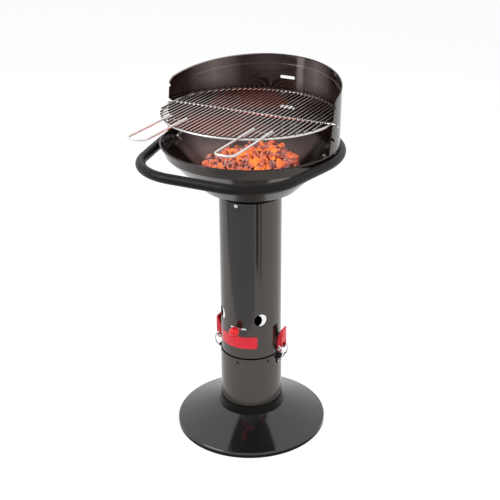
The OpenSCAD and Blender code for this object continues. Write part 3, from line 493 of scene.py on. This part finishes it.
def ring_tree():
    tree, given = tree_with(
        "ring_of_copies", Shape=("Object", None), Count=("Int", 6), Radius=("Float", 0.1),
        Height=("Float", 0.1), Start=("Float", 0.0), Material=("Material", None))
    line = add(tree, "GeometryNodeMeshLine", {"Count": given["Count"], "Offset": (0, 0, 0)})
    share = math_node(tree, "DIVIDE", add(tree, "GeometryNodeInputIndex").outputs[0], given["Count"])
    angle = math_node(tree, "MULTIPLY_ADD", share, 2 * math.pi, given["Start"])
    turned = add(tree, "ShaderNodeCombineXYZ", {"Z": angle})
    out_by = add(tree, "ShaderNodeCombineXYZ", {"X": given["Radius"], "Z": given["Height"]})
    spin = add(tree, "ShaderNodeVectorRotate", {"Vector": out_by.outputs[0], "Angle": angle},
               rotation_type="Z_AXIS")
    put = add(tree, "GeometryNodeSetPosition", {"Geometry": line.outputs[0], "Position": spin.outputs[0]})
    shape = add(tree, "GeometryNodeObjectInfo", {"Object": given["Shape"]})
    copies = add(tree, "GeometryNodeInstanceOnPoints", {
        "Points": put.outputs[0], "Instance": shape.outputs["Geometry"], "Rotation": turned.outputs[0]})
    return finished(tree, copies.outputs[0], given)

# %% Baking a node tree
def baked(name, tree, values, source=(), sharp=32.0):
    mesh = bpy.data.meshes.new(name)
    mesh.from_pydata([Vector(p) * MM for p in source], [], [])
    maker = shown(name + "_maker", mesh)
    modifier = maker.modifiers.new("make", "NODES")
    modifier.node_group = tree
    sockets = {item.name: item.identifier for item in tree.interface.items_tree
               if item.item_type == "SOCKET" and item.in_out == "INPUT"}
    for key, value in values.items():
        modifier[sockets[key]] = value
    bpy.context.view_layer.update()
    graph = bpy.context.evaluated_depsgraph_get()
    result = bpy.data.meshes.new_from_object(maker.evaluated_get(graph))
    bpy.data.objects.remove(maker)
    result.name = name
    soften(result, sharp)
    print(name, "has", len(result.polygons), "faces")
    return shown(name, result)

def master(name, points, faces, material):
    shape = piece(name, points, faces, material)
    shape.hide_render = True
    return shape

def done_with(*shapes):
    for shape in shapes:
        bpy.data.objects.remove(shape)

rings = ring_tree()
print("ring tree:", len(rings.nodes), "nodes")

# %% [markdown]
# A turned head is spun round its own axis. Here the axis is X, so that a copy on the
# right of the column already faces outwards. The socket is a six-sided recess.

# %% Turned heads
def turned_head(profile, steps=24, socket=None):
    points, faces = [], []
    count = len(profile)
    for i in range(steps):
        a = 2 * math.pi * i / steps
        for depth, radius in profile:
            r = radius
            if socket and radius <= socket:
                r = radius / math.cos((a + math.pi / 6) % (math.pi / 3) - math.pi / 6)
            points.append((depth, r * math.cos(a), r * math.sin(a)))
    for i in range(steps):
        a, b = i * count, (i + 1) % steps * count
        faces += [(a + k, b + k, b + k + 1, a + k + 1) for k in range(count - 1)]
    return points, faces

def ring_of(name, shape, count, radius, height, material):
    return baked(name, rings, {
        "Shape": shape, "Count": count, "Radius": radius * MM, "Height": height * MM,
        "Start": math.radians(-90), "Material": material})

def shanks(name, count, reach, height, radius, material):
    turns = [math.radians(360 / count * k - 90) for k in range(count)]
    return piece(name, *joined([bent([polar(r, a, height) for r in reach], radius) for a in turns]), material)

NECK_BOLT_Z, STOP_RIVET_Z = 677.4, 219.0
dome_profile = [(0, 0), (0, 5.5), (0.5, 5.5), (1.3, 5.1), (2.1, 4.3), (2.7, 3.3), (2.9, 2.4), (2.6, 2.0),
                (1.1, 1.9), (1.0, 0)]
rivet_profile = [(0, 0), (0, 3.5), (0.25, 3.5), (0.55, 3.0), (0.72, 2.0), (0.8, 0)]

bolt_head = master("bolt_head", *turned_head(dome_profile, 36, 2.0), polished)
neck_heads = ring_of("neck_bolt_heads", bolt_head, 3, 82.1, NECK_BOLT_Z, polished)
neck_shanks = shanks("neck_bolt_shanks", 3, (71.5, 83), NECK_BOLT_Z, 3.0, zinc)
for obj in (neck_heads, neck_shanks):
    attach(obj, "stand")
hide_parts("neck_bolts")
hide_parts("neck_bolts")
rivet_head = master("rivet_head", *turned_head(rivet_profile), soft_black)
stop_heads = ring_of("stop_rivet_heads", rivet_head, 6, 84.0, STOP_RIVET_Z, soft_black)
stop_shanks = shanks("stop_rivet_shanks", 6, (79, 84.3), STOP_RIVET_Z, 2.5, soft_black)
for obj in (stop_heads, stop_shanks):
    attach(obj, "stand")
    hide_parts("stop_rivets")
done_with(bolt_head, rivet_head)

# %% [markdown]
# The windscreen is one rolled sheet. On the real one a press has set its rear panel back
# by a millimetre or so, which shows as a crease that follows the sloping top edge. It
# could be cut from a cylinder, but a grid laid between the front edges and under the top
# edge keeps every edge clean. The grid's rows bunch up at the crease. Only the notches
# and slots are cut, with a Boolean, after Solidify has given the sheet its thickness.

# %% Windscreen shape
SCREEN_FOOT, SCREEN_TOP, SCREEN_FALL = 829.3, 1000.0, 0.1712
WALL_FOOT, WALL_FOOT_R, WALL_TOP_R = 828.8, 228.7, 230.6
FRONT_TOP, FRONT_TOP_Y, FRONT_FALL = 962.9, 14, 0.56
EDGE_BACK, EDGE_TOP, EDGE_TALL = 23, 960.5, 131.7
PANEL_DEPTH, PANEL_FROM, PANEL_BELOW_TOP = 1.8, 24.2, 24.6

def screen_radius(z):
    return WALL_FOOT_R + (z - WALL_FOOT) * (WALL_TOP_R - WALL_FOOT_R) / (SCREEN_TOP - WALL_FOOT)

def screen_top(y):
    return min(SCREEN_TOP - SCREEN_FALL * (WALL_TOP_R - y), FRONT_TOP - (FRONT_TOP_Y - y) * FRONT_FALL)

def front_edge(z):
    return -EDGE_BACK * (EDGE_TOP - z) / EDGE_TALL

def turn_on(share, z, r):
    start = math.asin(max(front_edge(z), -30) / r)
    return start + (math.pi - 2 * start) * share

def step_up(value, start, width):
    t = min(1.0, max(0.0, (value - start) / width))
    return t * t * (3 - 2 * t)

def pressed(degrees, below_top, z):
    across = step_up(degrees, PANEL_FROM, 0.4) * step_up(180 - degrees, PANEL_FROM, 0.4)
    return PANEL_DEPTH * across * step_up(below_top, PANEL_BELOW_TOP, 2.4) * step_up(z, 834.0, 4.0)

def screen_point(share, rise):
    z = 900.0
    for _ in range(12):
        r = screen_radius(z)
        turned = turn_on(share, z, r)
        top = screen_top(r * math.sin(turned))
        z = SCREEN_FOOT + (top - SCREEN_FOOT) * rise[0] + rise[1]
    z = min(z, top)
    return polar(screen_radius(z) - pressed(math.degrees(turned), top - z, z), turned, z)

print("windscreen top:", round(screen_top(WALL_TOP_R)), "mm behind,", round(screen_top(0)), "mm at the sides")

# %% Windscreen sheet
def screen_columns():
    shares = [i / 150 for i in range(151)]
    creases = [(PANEL_FROM + k * 0.1 + 5) / 190 for k in range(-3, 8)]
    return sorted(shares + creases + [1 - s for s in creases])

def screen_rows():
    low = [(k / 34, -28.0 * k / 34) for k in range(35)]
    return low + [(1.0, -d) for d in (27, 26.4, 25.8, 25.2, 24.6, 24, 18, 12, 6, 3, 1, 0)]

def screen_sheet():
    flange = [(216.5, 806.0), (220.0, 815.1), (223.0, 823.0), (223.2, 824.0), (223.2, 828.2),
              (223.5, 828.7), (224.0, 828.8), (226.5, 828.8), (228.4, 828.9)]
    columns, rows = screen_columns(), screen_rows()
    points, faces = [], []
    for share in columns:
        points += [polar(r, turn_on(share, z, r), z) for r, z in flange]
        points += [screen_point(share, rise) for rise in rows]
    tall = len(flange) + len(rows)
    for i in range(len(columns) - 1):
        a, b = i * tall, (i + 1) * tall
        faces += [(a + k, b + k, b + k + 1, a + k + 1) for k in range(tall - 1)]
    return points, faces

screen = plain("windscreen_sheet", *screen_sheet(), screen_enamel)
print("windscreen grid:", len(screen.data.polygons), "faces")

# %% Notches and slots
NOTCH_HEIGHTS = (860, 901, 942)
SLOT_HEIGHTS = (856.7, 897.7, 938.7)
SCREW_HOLE_Z, SCREW_HOLE_R = 808, 3.3

def prism(outline, low, high, place):
    count = len(outline)
    points = [place(x, y, low) for x, y in outline] + [place(x, y, high) for x, y in outline]
    faces = [tuple(range(count)), tuple(count + k for k in range(count))]
    faces += [(k, (k + 1) % count, count + (k + 1) % count, count + k) for k in range(count)]
    return points, faces

def capsule(start, end, radius, steps=14):
    start, end = Vector(start), Vector(end)
    way = (end - start).normalized()
    side = Vector((-way.y, way.x))
    outline = []
    for centre, sign in ((end, 1), (start, -1)):
        for k in range(steps + 1):
            a = math.pi * (0.5 - k / steps)
            outline.append(centre + sign * radius * (way * math.cos(a) + side * math.sin(a)))
    return [(p.x, p.y) for p in outline]

def cut_from(obj, parts, name):
    cutter = piece(name, *joined(parts), soft_black)
    cut = obj.modifiers.new(name, "BOOLEAN")
    cut.operation, cut.solver, cut.object = "DIFFERENCE", "EXACT", cutter
    return cutter

def settled(obj, sharp=32.0):
    bpy.context.view_layer.update()
    graph = bpy.context.evaluated_depsgraph_get()
    result = bpy.data.meshes.new_from_object(obj.evaluated_get(graph))
    obj.modifiers.clear()
    obj.data = result
    soften(result, sharp)
    return obj

wall = screen.modifiers.new("wall", "SOLIDIFY")
wall.thickness, wall.offset = 1.0 * MM, -1.0
notches = [prism(capsule((0, z), (-43.3, z + 25), 3.3), -260, 260, lambda x, y, h: (h, x, y))
           for z in NOTCH_HEIGHTS]
slots = [prism(capsule((-17.5, z), (17.5, z), 4.0), 200, 260, lambda x, y, h: (x, h, y))
         for z in SLOT_HEIGHTS]
screw_ring = [polar(SCREW_HOLE_R, k * math.pi / 12, 0) for k in range(24)]
screw_hole = [(x, SCREW_HOLE_Z + y) for x, y, _ in screw_ring]
holes = [prism(screw_hole, 200, 240, lambda x, y, h, c=c, s=s: (h * c - x * s, h * s + x * c, y))
         for c, s in ((1, 0), (-1, 0), (0, 1))]
cutter = cut_from(screen, notches + slots + holes, "screen_cutter")
settled(screen)
done_with(cutter)
hem = []
for k in range(201):
    x, y, z = screen_point(k / 200, (1.0, 0.0))
    inward = 1 - 1.45 / math.hypot(x, y)
    hem.append((x * inward, y * inward, z - 1.35))
screen_hem = piece("windscreen_hem", *bent(hem, 1.3, around=12), hem_enamel)
for obj in (screen, screen_hem):
    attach(obj, "stand")
    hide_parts("windscreen")
print("windscreen sheet:", len(screen.data.polygons), "faces")

# %% [markdown]
# The handle is one steel tube, bent round the bowl and out to a straight front bar. Its
# path is two arcs and three straights that meet without a corner. The powder coat on it
# is matt, so its texture does the work and the mesh stays simple.

# %% Handle tube
RAIL_Z, RAIL_R, CORNER_R, TUBE_R = 808.0, 232.63, 137.0, 12.5

def arc_points(cx, cy, radius, start, end, steps):
    turns = [math.radians(start + (end - start) * k / steps) for k in range(steps + 1)]
    return [(cx + radius * math.cos(a), cy + radius * math.sin(a), RAIL_Z) for a in turns]

rail = arc_points(0, 0, RAIL_R, -11.2, 191.2, 90)
rail += arc_points(-67.2, -153, CORNER_R, 191.2, 270, 36) + arc_points(67.2, -153, CORNER_R, 270, 348.8, 36)
handle = piece("handle_tube", *bent(rail, TUBE_R, closed=True, around=32), soft_black)
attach(handle, "stand")
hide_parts("handle_ring")

# %% [markdown]
# The grid lies on the cross rod in its notches. Its bars are all one wire cut to the
# width of the hoop, so a node tree makes them: a row of short curves, each stretched to
# the hoop by the circle's own rule, then given a round section. A second tree lays a
# small weld drop on every crossing.

# %% Geometry Nodes: bars across a hoop
PITCH, BAR_COUNT, HOOP_R = 12.15, 35, 220

def bar_tree():
    tree, given = tree_with(
        "bars_across_a_hoop", Count=("Int", BAR_COUNT), Pitch=("Float", 0.012), Hoop=("Float", 0.2),
        Wire=("Float", 0.002), Height=("Float", 0.9), Material=("Material", None))
    spaces = math_node(tree, "SUBTRACT", given["Count"], 1.0)
    first = add(tree, "ShaderNodeCombineXYZ", {"X": product(tree, spaces, given["Pitch"], -0.5)})
    pitch = add(tree, "ShaderNodeCombineXYZ", {"X": given["Pitch"]})
    row = add(tree, "GeometryNodeMeshLine", {
        "Count": given["Count"], "Offset": pitch.outputs[0], "Start Location": first.outputs[0]})
    stub = add(tree, "GeometryNodeCurvePrimitiveLine", {"Start": (0, -1, 0), "End": (0, 1, 0)})
    copies = add(tree, "GeometryNodeInstanceOnPoints", {
        "Points": row.outputs[0], "Instance": stub.outputs[0]})
    real = add(tree, "GeometryNodeRealizeInstances", {0: copies.outputs[0]})
    parts = split(tree, add(tree, "GeometryNodeInputPosition").outputs[0])
    squares = [math_node(tree, "POWER", value, 2.0) for value in (given["Hoop"], parts["X"])]
    half = math_node(tree, "SQRT", math_node(tree, "SUBTRACT", *squares))
    place = add(tree, "ShaderNodeCombineXYZ", {
        "X": parts["X"], "Y": math_node(tree, "MULTIPLY", half, parts["Y"]), "Z": given["Height"]})
    put = add(tree, "GeometryNodeSetPosition", {"Geometry": real.outputs[0], "Position": place.outputs[0]})
    section = add(tree, "GeometryNodeCurvePrimitiveCircle", {"Resolution": 12, "Radius": given["Wire"]})
    round_bar = add(tree, "GeometryNodeCurveToMesh", {
        "Curve": put.outputs[0], "Profile Curve": section.outputs[0], "Fill Caps": True})
    return finished(tree, round_bar.outputs[0], given)

bars = baked("grid_rods", bar_tree(), {
    "Count": BAR_COUNT, "Pitch": PITCH * MM, "Hoop": 222 * MM, "Wire": 2.0 * MM, "Height": 906.05 * MM,
    "Material": bar_wire})

# %% Geometry Nodes: weld drops
def drop_tree():
    tree, given = tree_with(
        "weld_drops", Points=("Geometry", None), Size=("Float", 0.002), Seed=("Int", 4),
        Material=("Material", None))
    drop = add(tree, "GeometryNodeMeshIcoSphere", {"Radius": given["Size"], "Subdivisions": 2})
    scale = add(tree, "FunctionNodeRandomValue", data_type="FLOAT_VECTOR")
    feed(tree, scale, {0: (0.85, 0.85, 0.7), 1: (1.2, 1.2, 0.95), "Seed": given["Seed"]})
    copies = add(tree, "GeometryNodeInstanceOnPoints", {
        "Points": given["Points"], "Instance": drop.outputs[0], "Scale": scale.outputs[0]})
    return finished(tree, copies.outputs[0], given)

crossings = []
for i in range(-(BAR_COUNT // 2), BAR_COUNT // 2 + 1):
    x = i * PITCH
    y = math.sqrt(HOOP_R ** 2 - x ** 2)
    crossings += [(x, y, 904.0), (x, -y, 904.0), (x, 0, 904.0)]
drops = baked("grid_weld_drops", drop_tree(), {"Size": 1.9 * MM, "Seed": 4, "Material": chrome}, crossings)

# %% Hoop, cross rod, tongue and hand loops
HOOP_Z, TIE_Z, LOOP_Z, LOOP_END = 901, 902.0, 907.05, -136
TONGUE_START, TONGUE_HALF = 223.3, 15
LEFT_LOOP, RIGHT_LOOP = -12.5 * PITCH, 6.5 * PITCH
LOOP_WIDTH = 4 * PITCH

hoop = bent(ring_path(HOOP_R, HOOP_Z), 3.0, closed=True)
rod = bent(rounded([(-235, 0, HOOP_Z), (235, 0, HOOP_Z), (246, -19, HOOP_Z)], 4.0), 3.0)
low_y, low_z = TONGUE_START + 24 * math.cos(math.radians(30)), HOOP_Z - 12.0
tongue = bent(rounded([(-TONGUE_HALF, TONGUE_START, HOOP_Z), (-TONGUE_HALF, low_y, low_z),
                       (TONGUE_HALF, low_y, low_z), (TONGUE_HALF, TONGUE_START, HOOP_Z)], 4.0), 2.5)
ties = [bent([(x - 8, -140, TIE_Z), (x + LOOP_WIDTH + 8, -140, TIE_Z)], 2.0, around=12)
        for x in (LEFT_LOOP, RIGHT_LOOP)]
grid_hoop = piece("grid_hoop", *hoop, hoop_wire)
grid_rod = piece("grid_rod", *joined([rod, tongue, *ties]), hoop_wire)

def hand_loop(name, x, reach):
    corners = [(x, LOOP_END, LOOP_Z), (x, 3 - reach, LOOP_Z), (x + LOOP_WIDTH, 3 - reach, LOOP_Z),
               (x + LOOP_WIDTH, LOOP_END, LOOP_Z)]
    return piece(name, *bent(rounded(corners, 18.0), 3.0), loop_wire)

loop_left = hand_loop("grid_loop_left", LEFT_LOOP, 333)
loop_right = hand_loop("grid_loop_right", RIGHT_LOOP, 344)
for obj in (bars, drops, grid_hoop, grid_rod, loop_left, loop_right):
    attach(obj, "grid")
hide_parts("grid_bars")
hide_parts("grid_ring")
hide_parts("grid_cross_rod", "grid_tongue", "grid_cross_wires")
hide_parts("grid_handle_left")
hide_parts("grid_handle_right")
print("grid wires made")

# %% [markdown]
# Pressed and machined parts have small rounded edges that catch the light. A copy of the
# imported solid, with its doubles merged and its flat faces joined, takes a narrow Bevel.
# That keeps every size of the solid and only softens its edges.

# %% Softened copies
def copy_of(name, source, material):
    grown = bmesh.new()
    grown.from_mesh(nodes[source].data)
    bmesh.ops.remove_doubles(grown, verts=grown.verts, dist=0.000005)
    bmesh.ops.dissolve_limit(grown, angle_limit=math.radians(1.0), verts=grown.verts, edges=grown.edges)
    mesh = bpy.data.meshes.new(name)
    grown.to_mesh(mesh)
    grown.free()
    mesh.materials.append(material)
    return shown(name, mesh)

def edged(name, source, width, material, body):
    obj = copy_of(name, source, material)
    bevel = obj.modifiers.new("edges", "BEVEL")
    bevel.width, bevel.segments = width * MM, 2
    bevel.limit_method, bevel.angle_limit = "ANGLE", math.radians(40)
    settled(obj, 40)
    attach(obj, body)
    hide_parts(source)

for side in ("left", "right"):
    edged(f"lever_press_{side}", f"latch_lever_{side}", 0.45, red_paint, f"lever_{side}")
    edged(f"latch_ears_{side}", f"latch_plate_{side}", 0.3, tube_paint, "stand")
    edged(f"catch_hook_{side}", f"catch_{side}", 0.3, soft_black, "stand")
print("latch parts softened")

# %% [markdown]
# A wing screw is die cast, so it has no sharp edge at all. Its solid is only a hub and
# two flat ears. A voxel remesh melts them into one skin, and a little smoothing rounds
# the corners, which is quicker than modelling the fillets by hand.

# %% Wing screws
wings = copy_of("wing_castings", "wing_screws", zinc)
melt = wings.modifiers.new("melt", "REMESH")
melt.mode, melt.voxel_size = "VOXEL", 0.55 * MM
relax = wings.modifiers.new("relax", "SMOOTH")
relax.iterations, relax.factor = 6, 0.6
settled(wings, 60)
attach(wings, "stand")
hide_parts("wing_screws")
print("wing screws:", len(wings.data.polygons), "faces")

# %% [markdown]
# A latch's bail is one wire, bent to a U and hooked into the lever. Its leg bows out so
# that it passes the lever's pin. The points of the leg lie on one arc, and the corners
# are rounded like a real bend.

# %% Bails
BAIL_TOP, BAIL_LOW, BAIL_BOW = Vector((92.23, 259.5)), Vector((90.0, 216.0)), 13.0
LEG_Y, HINGE_Y = 16.6, 10.6

def bail_path(side):
    radius = ((BAIL_TOP - BAIL_LOW).length ** 2 / 4 + BAIL_BOW ** 2) / (2 * BAIL_BOW)
    way = (BAIL_TOP - BAIL_LOW).normalized()
    centre = (BAIL_TOP + BAIL_LOW) / 2 - Vector((way.y, -way.x)) * (radius - BAIL_BOW)
    leg = [(p.x, p.y) for p in swung(centre, BAIL_LOW - centre, BAIL_TOP - centre, 16)]
    whole = [(BAIL_TOP.x, -HINGE_Y, BAIL_TOP.y)] + [(x, -LEG_Y, z) for x, z in reversed(leg)]
    whole += [(x, LEG_Y, z) for x, z in leg] + [(BAIL_TOP.x, HINGE_Y, BAIL_TOP.y)]
    return [(side * x, y, z) for x, y, z in whole]

def softened(path, radius):
    turned = [Vector(path[0])]
    for before, corner, after in zip(path, path[1:], path[2:]):
        corner = Vector(corner)
        a, b = Vector(before) - corner, Vector(after) - corner
        if a.angle(b) > math.radians(150):
            turned.append(corner)
            continue
        reach = min(radius, a.length * 0.8, b.length * 0.8)
        start, end = corner + a.normalized() * reach, corner + b.normalized() * reach
        turned += [(1 - t) ** 2 * start + 2 * t * (1 - t) * corner + t ** 2 * end
                   for t in (0, 0.25, 0.5, 0.75, 1)]
    return turned + [Vector(path[-1])]

for side, sign in (("left", -1), ("right", 1)):
    wire_u = piece(f"bail_wire_{side}", *bent(softened(bail_path(sign), 2.4), 2.0), polished)
    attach(wire_u, f"bail_{side}")
    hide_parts(f"latch_bail_{side}")
print("bails bent")

# %% [markdown]
# The knob is a moulded ball. It is spun round the axis of its screw, with a small flat
# collar where the screw goes in and the fine ring that the two halves of a mould leave.

# %% Knob
KNOB_Y, KNOB_Z, KNOB_R = -102, 323.5, 13.88

def knob_outline():
    outline = [(-4.2, 0.0), (-4.2, 3.1), (-13.2, 3.1), (-13.4, 3.4), (-13.4, 4.6), (-13.1, 5.0)]
    for k in range(5, 41):
        a = math.radians(182 - k * 4.5)
        r = KNOB_R + (0.12 if 18 < k < 22 else 0.0)
        outline.append((r * math.cos(a), r * math.sin(a)))
    return outline + [(KNOB_R, 0.0)]

def knob():
    points, faces = turned_head(knob_outline(), 72)
    return [(x, KNOB_Y - along, KNOB_Z + z) for along, x, z in points], faces

ball = piece("knob_moulding", *knob(), red_plastic, 50)
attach(ball, "air_control")
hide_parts("knob_ball")
print("knob faces", len(ball.data.polygons))

# %% [markdown]
# The red plate on the column is left bare. It is a thin curved plate with rounded
# corners and a slightly raised border, stamped before it is bent to the tube.

# %% Red plate
PLATE_TURN, PLATE_Z, PLATE_BEND_R = math.radians(-93), 282.75, 82.1
PLATE_FRONT_R, PLATE_BACK_R = 82.85, 82.25
HALF_WIDE, HALF_HIGH, CORNER = 58.7, 17.75, 4.0

def plate_point(u, v, face_r):
    over_u, over_v = abs(u) - (HALF_WIDE - CORNER), abs(v) - (HALF_HIGH - CORNER)
    if over_u > 0 and over_v > 0:
        stretch = max(over_u, over_v) / math.hypot(over_u, over_v)
        u = math.copysign(HALF_WIDE - CORNER + over_u * stretch, u)
        v = math.copysign(HALF_HIGH - CORNER + over_v * stretch, v)
    edge = min(HALF_WIDE - abs(u), HALF_HIGH - abs(v))
    sunk = 0.22 * step_up(edge, 2.0, 0.8) + 0.2 * (1 - step_up(edge, 0.0, 0.5))
    r = face_r - (sunk if face_r == PLATE_FRONT_R else 0.0)
    return polar(r, PLATE_TURN + u / PLATE_BEND_R, PLATE_Z + v)

def label_sheet(across=84, up=26):
    points = [plate_point((i / across * 2 - 1) * HALF_WIDE, (k / up * 2 - 1) * HALF_HIGH, face_r)
              for face_r in (PLATE_FRONT_R, PLATE_BACK_R) for i in range(across + 1) for k in range(up + 1)]
    tall, layer, faces = up + 1, (across + 1) * (up + 1), []
    for i in range(across):
        for a in range(i * tall, i * tall + up):
            quad = (a, a + tall, a + tall + 1, a + 1)
            faces += [quad, tuple(layer + q for q in reversed(quad))]
    rim = [i * tall for i in range(across + 1)] + [across * tall + k for k in range(1, tall)]
    rim += [i * tall + up for i in range(across - 1, -1, -1)] + list(range(up - 1, 0, -1))
    faces += [(a, b, layer + b, layer + a) for a, b in zip(rim, rim[1:] + rim[:1])]
    return points, faces

plate = piece("red_plate", *label_sheet(), red_paint, 40)
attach(plate, "stand")
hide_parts("label_plate")
print("plate faces", len(plate.data.polygons))

# %% [markdown]
# Charcoal is broken, not moulded, so each lump starts as a ball, is cut by a few random
# planes into facets, and is roughened by noise. A node tree strews four such lumps over
# the bed with a fixed seed, so that no two neighbours look alike and every run agrees.

# %% Lumps
LUMP_R = 0.0150

def lump(name, seed, material):
    dice = random.Random(seed)
    grown = bmesh.new()
    bmesh.ops.create_icosphere(grown, subdivisions=3, radius=1.0)
    cuts = []
    for _ in range(11):
        normal = Vector([dice.gauss(0, 1) for _ in range(3)]).normalized()
        cuts.append((normal, dice.uniform(0.55, 0.85)))
    long_by = Vector((dice.uniform(0.9, 1.3), dice.uniform(0.75, 1.0), dice.uniform(0.6, 0.85)))
    for vert in grown.verts:
        place = vert.co.copy()
        for normal, limit in cuts:
            over = place.dot(normal) - limit
            if over > 0:
                place -= normal * over * 0.92
        rough = 1 + 0.05 * math.sin(9 * place.x + seed) * math.sin(11 * place.y) + dice.uniform(-0.02, 0.02)
        vert.co = place * long_by * rough * LUMP_R
    mesh = bpy.data.meshes.new(name)
    grown.to_mesh(mesh)
    grown.free()
    mesh.materials.append(material)
    return shown(name, mesh)

print("a lump is", 2 * LUMP_R / MM, "mm across before it is cut")

# %% Glowing charcoal
HOT_SPOT = (0.025, -0.020, 0.80)
EMBER_STOPS = ((0.0, (0.05, 0.010, 0.007)), (0.28, (0.28, 0.055, 0.038)), (0.52, (0.62, 0.12, 0.05)),
               (0.80, (0.95, 0.20, 0.05)), (1.0, (1.0, 0.33, 0.06)))
GAP_STOPS = ((0.38, (0.006, 0.0, 0.0)), (0.55, (0.10, 0.004, 0.001)), (0.68, (0.75, 0.12, 0.02)))

def ember():
    mat, tree, shader, coords = tree_of("glowing_charcoal")
    patches = ranged(tree, noise(tree, coords, 34.0), 0.40, 0.64, 0.0, 1.0)
    veins = noise(tree, coords, 130.0, 4.0)
    inner = ranged(tree, from_axis(tree, coords)[0], 0.085, 0.125, 1.0, 0.45)
    away = add(tree, "ShaderNodeVectorMath", {0: coords, 1: HOT_SPOT}, operation="DISTANCE").outputs["Value"]
    heat = product(tree, patches, inner)
    for more in (ranged(tree, veins, 0.35, 0.65, -0.14, 0.14), ranged(tree, away, 0.010, 0.065, 0.40, 0.0)):
        heat = math_node(tree, "ADD", heat, more)
    ash = product(tree, ranged(tree, veins, 0.42, 0.60, 0.0, 1.0), ranged(tree, heat, 0.35, 0.85, 1.0, 0.05))
    feed(tree, shader, {
        "Base Color": mixed(tree, ash, (0.06, 0.02, 0.012), (0.62, 0.48, 0.48)), "Roughness": 0.9,
        "Emission Color": ramped(tree, heat, EMBER_STOPS), "Emission Strength": 1.0})
    bumped(tree, shader, veins, 0.6, 0.0015)
    return mat

def gaps():
    mat, tree, shader, coords = tree_of("fire_between_lumps")
    feed(tree, shader, {
        "Base Color": (0.02, 0.006, 0.004, 1), "Roughness": 0.9, "Emission Strength": 1.0,
        "Emission Color": ramped(tree, noise(tree, coords, 40.0), GAP_STOPS)})
    return mat

charcoal, between = ember(), gaps()
print("coals glow in", len(EMBER_STOPS), "tones")

# %% Geometry Nodes: strewn lumps
def strewn_tree():
    tree, given = tree_with(
        "strewn_lumps", Points=("Geometry", None), First=("Object", None), Second=("Object", None),
        Third=("Object", None), Fourth=("Object", None), Seed=("Int", 7), Material=("Material", None))
    kinds = add(tree, "GeometryNodeGeometryToInstance")
    for key in ("Fourth", "Third", "Second", "First"):
        info = add(tree, "GeometryNodeObjectInfo", {"Object": given[key]})
        tree.links.new(info.outputs["Geometry"], kinds.inputs[0])
    turn_by = add(tree, "FunctionNodeRandomValue", data_type="FLOAT_VECTOR")
    feed(tree, turn_by, {1: (6.28, 6.28, 6.28), "Seed": given["Seed"]})
    grow_by = add(tree, "FunctionNodeRandomValue", data_type="FLOAT")
    feed(tree, grow_by, {2: 0.75, 3: 1.15, "Seed": given["Seed"]})
    copies = add(tree, "GeometryNodeInstanceOnPoints", {
        "Pick Instance": True, "Points": given["Points"], "Instance": kinds.outputs[0],
        "Rotation": turn_by.outputs[0], "Scale": grow_by.outputs[1]})
    return finished(tree, copies.outputs[0], given)

# %% Bed of coals
BED_R, TOP_LUMPS, SIDE_LUMPS, GOLDEN_TURN = 118, 112, 80, math.radians(137.508)
BED_FOOT, CORE_TOP_R, CORE_FOOT_R, CORE_SIDES, CORE_RINGS = 727, 111, 106, 48, 12

def bed_height(x, y):
    heap = 32 * math.exp(-((x - 30) ** 2 / 6000 + (y - 30) ** 2 / 7000))
    return 780 + heap - 18 * (math.hypot(x, y) / 126) ** 4

def bed_points():
    points = []
    for i in range(TOP_LUMPS):
        x, y, _ = polar(BED_R * math.sqrt((i + 0.5) / TOP_LUMPS), GOLDEN_TURN * i, 0)
        points.append((x, y, bed_height(x, y) - 9 + 5 * math.sin(i * 1.7)))
    for i in range(SIDE_LUMPS):
        low = 754 if i < SIDE_LUMPS // 2 else 737
        turned = 4 * math.pi * i / SIDE_LUMPS
        points.append(polar(113 + 4 * math.sin(i * 2.3), turned, low + 5 * math.sin(i * 5.1)))
    return points

def core_mesh():
    points, faces = [(0, 0, BED_FOOT), (0, 0, bed_height(0, 0) - 12)], []
    turns = [2 * math.pi * k / CORE_SIDES for k in range(CORE_SIDES)]
    for i in range(1, CORE_RINGS + 1):
        for k, a in enumerate(turns):
            x, y, _ = polar(CORE_TOP_R * i / CORE_RINGS, a, 0)
            points.append((x, y, bed_height(x, y) - 12 + 2 * math.sin(k * 3.3 + i * 2.1)))
    foot = len(points)
    points += [polar(CORE_FOOT_R, a, BED_FOOT) for a in turns]
    for k in range(CORE_SIDES):
        n = (k + 1) % CORE_SIDES
        faces += [(1, 2 + k, 2 + n), (0, foot + n, foot + k)]
        faces += [(a + k, a + CORE_SIDES + k, a + CORE_SIDES + n, a + n)
                  for a in range(2, foot, CORE_SIDES)]
    return points, faces

lumps = [lump(f"lump_{k}", 11 + k, charcoal) for k in range(4)]
coals = baked("charcoal_lumps", strewn_tree(), {
    "First": lumps[0], "Second": lumps[1], "Third": lumps[2], "Fourth": lumps[3], "Seed": 7,
    "Material": charcoal}, bed_points(), 20)
done_with(*lumps)
core = piece("charcoal_core", *core_mesh(), between)
for obj in (coals, core):
    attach(obj, "stand")
    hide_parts("charcoal_bed")

# %% Finishes on the nodes that stay
finishes = {
    bowl_enamel: ("bowl",),
    enamel: ("windscreen",),
    tube_paint: ("upper_tube", "lower_tube", "latch_plate_left", "latch_plate_right"),
    black_gloss: ("base_plate",),
    collar_black: ("tube_collar",),
    soft_black: ("handle_ring", "catch_left", "catch_right", "charcoal_grate", "stop_rivets"),
    red_paint: ("latch_lever_left", "latch_lever_right", "label_plate"),
    red_plastic: ("knob_ball", "charcoal_bed"),
    chrome: ("grid_ring", "grid_bars", "grid_cross_rod", "grid_tongue", "grid_handle_left",
             "grid_handle_right", "grid_cross_wires", "latch_bail_left", "latch_bail_right"),
    polished: ("air_ring",),
    zinc: ("base_bolts", "base_nuts", "knob_screw", "latch_rivets", "lever_pins", "neck_bolts",
           "neck_nuts", "rail_inserts", "wing_screws"),
}
for material, names in finishes.items():
    for name in names:
        for spot in nodes[name].material_slots:
            spot.material = material
print("nodes with a finish:", sum(len(names) for names in finishes.values()))
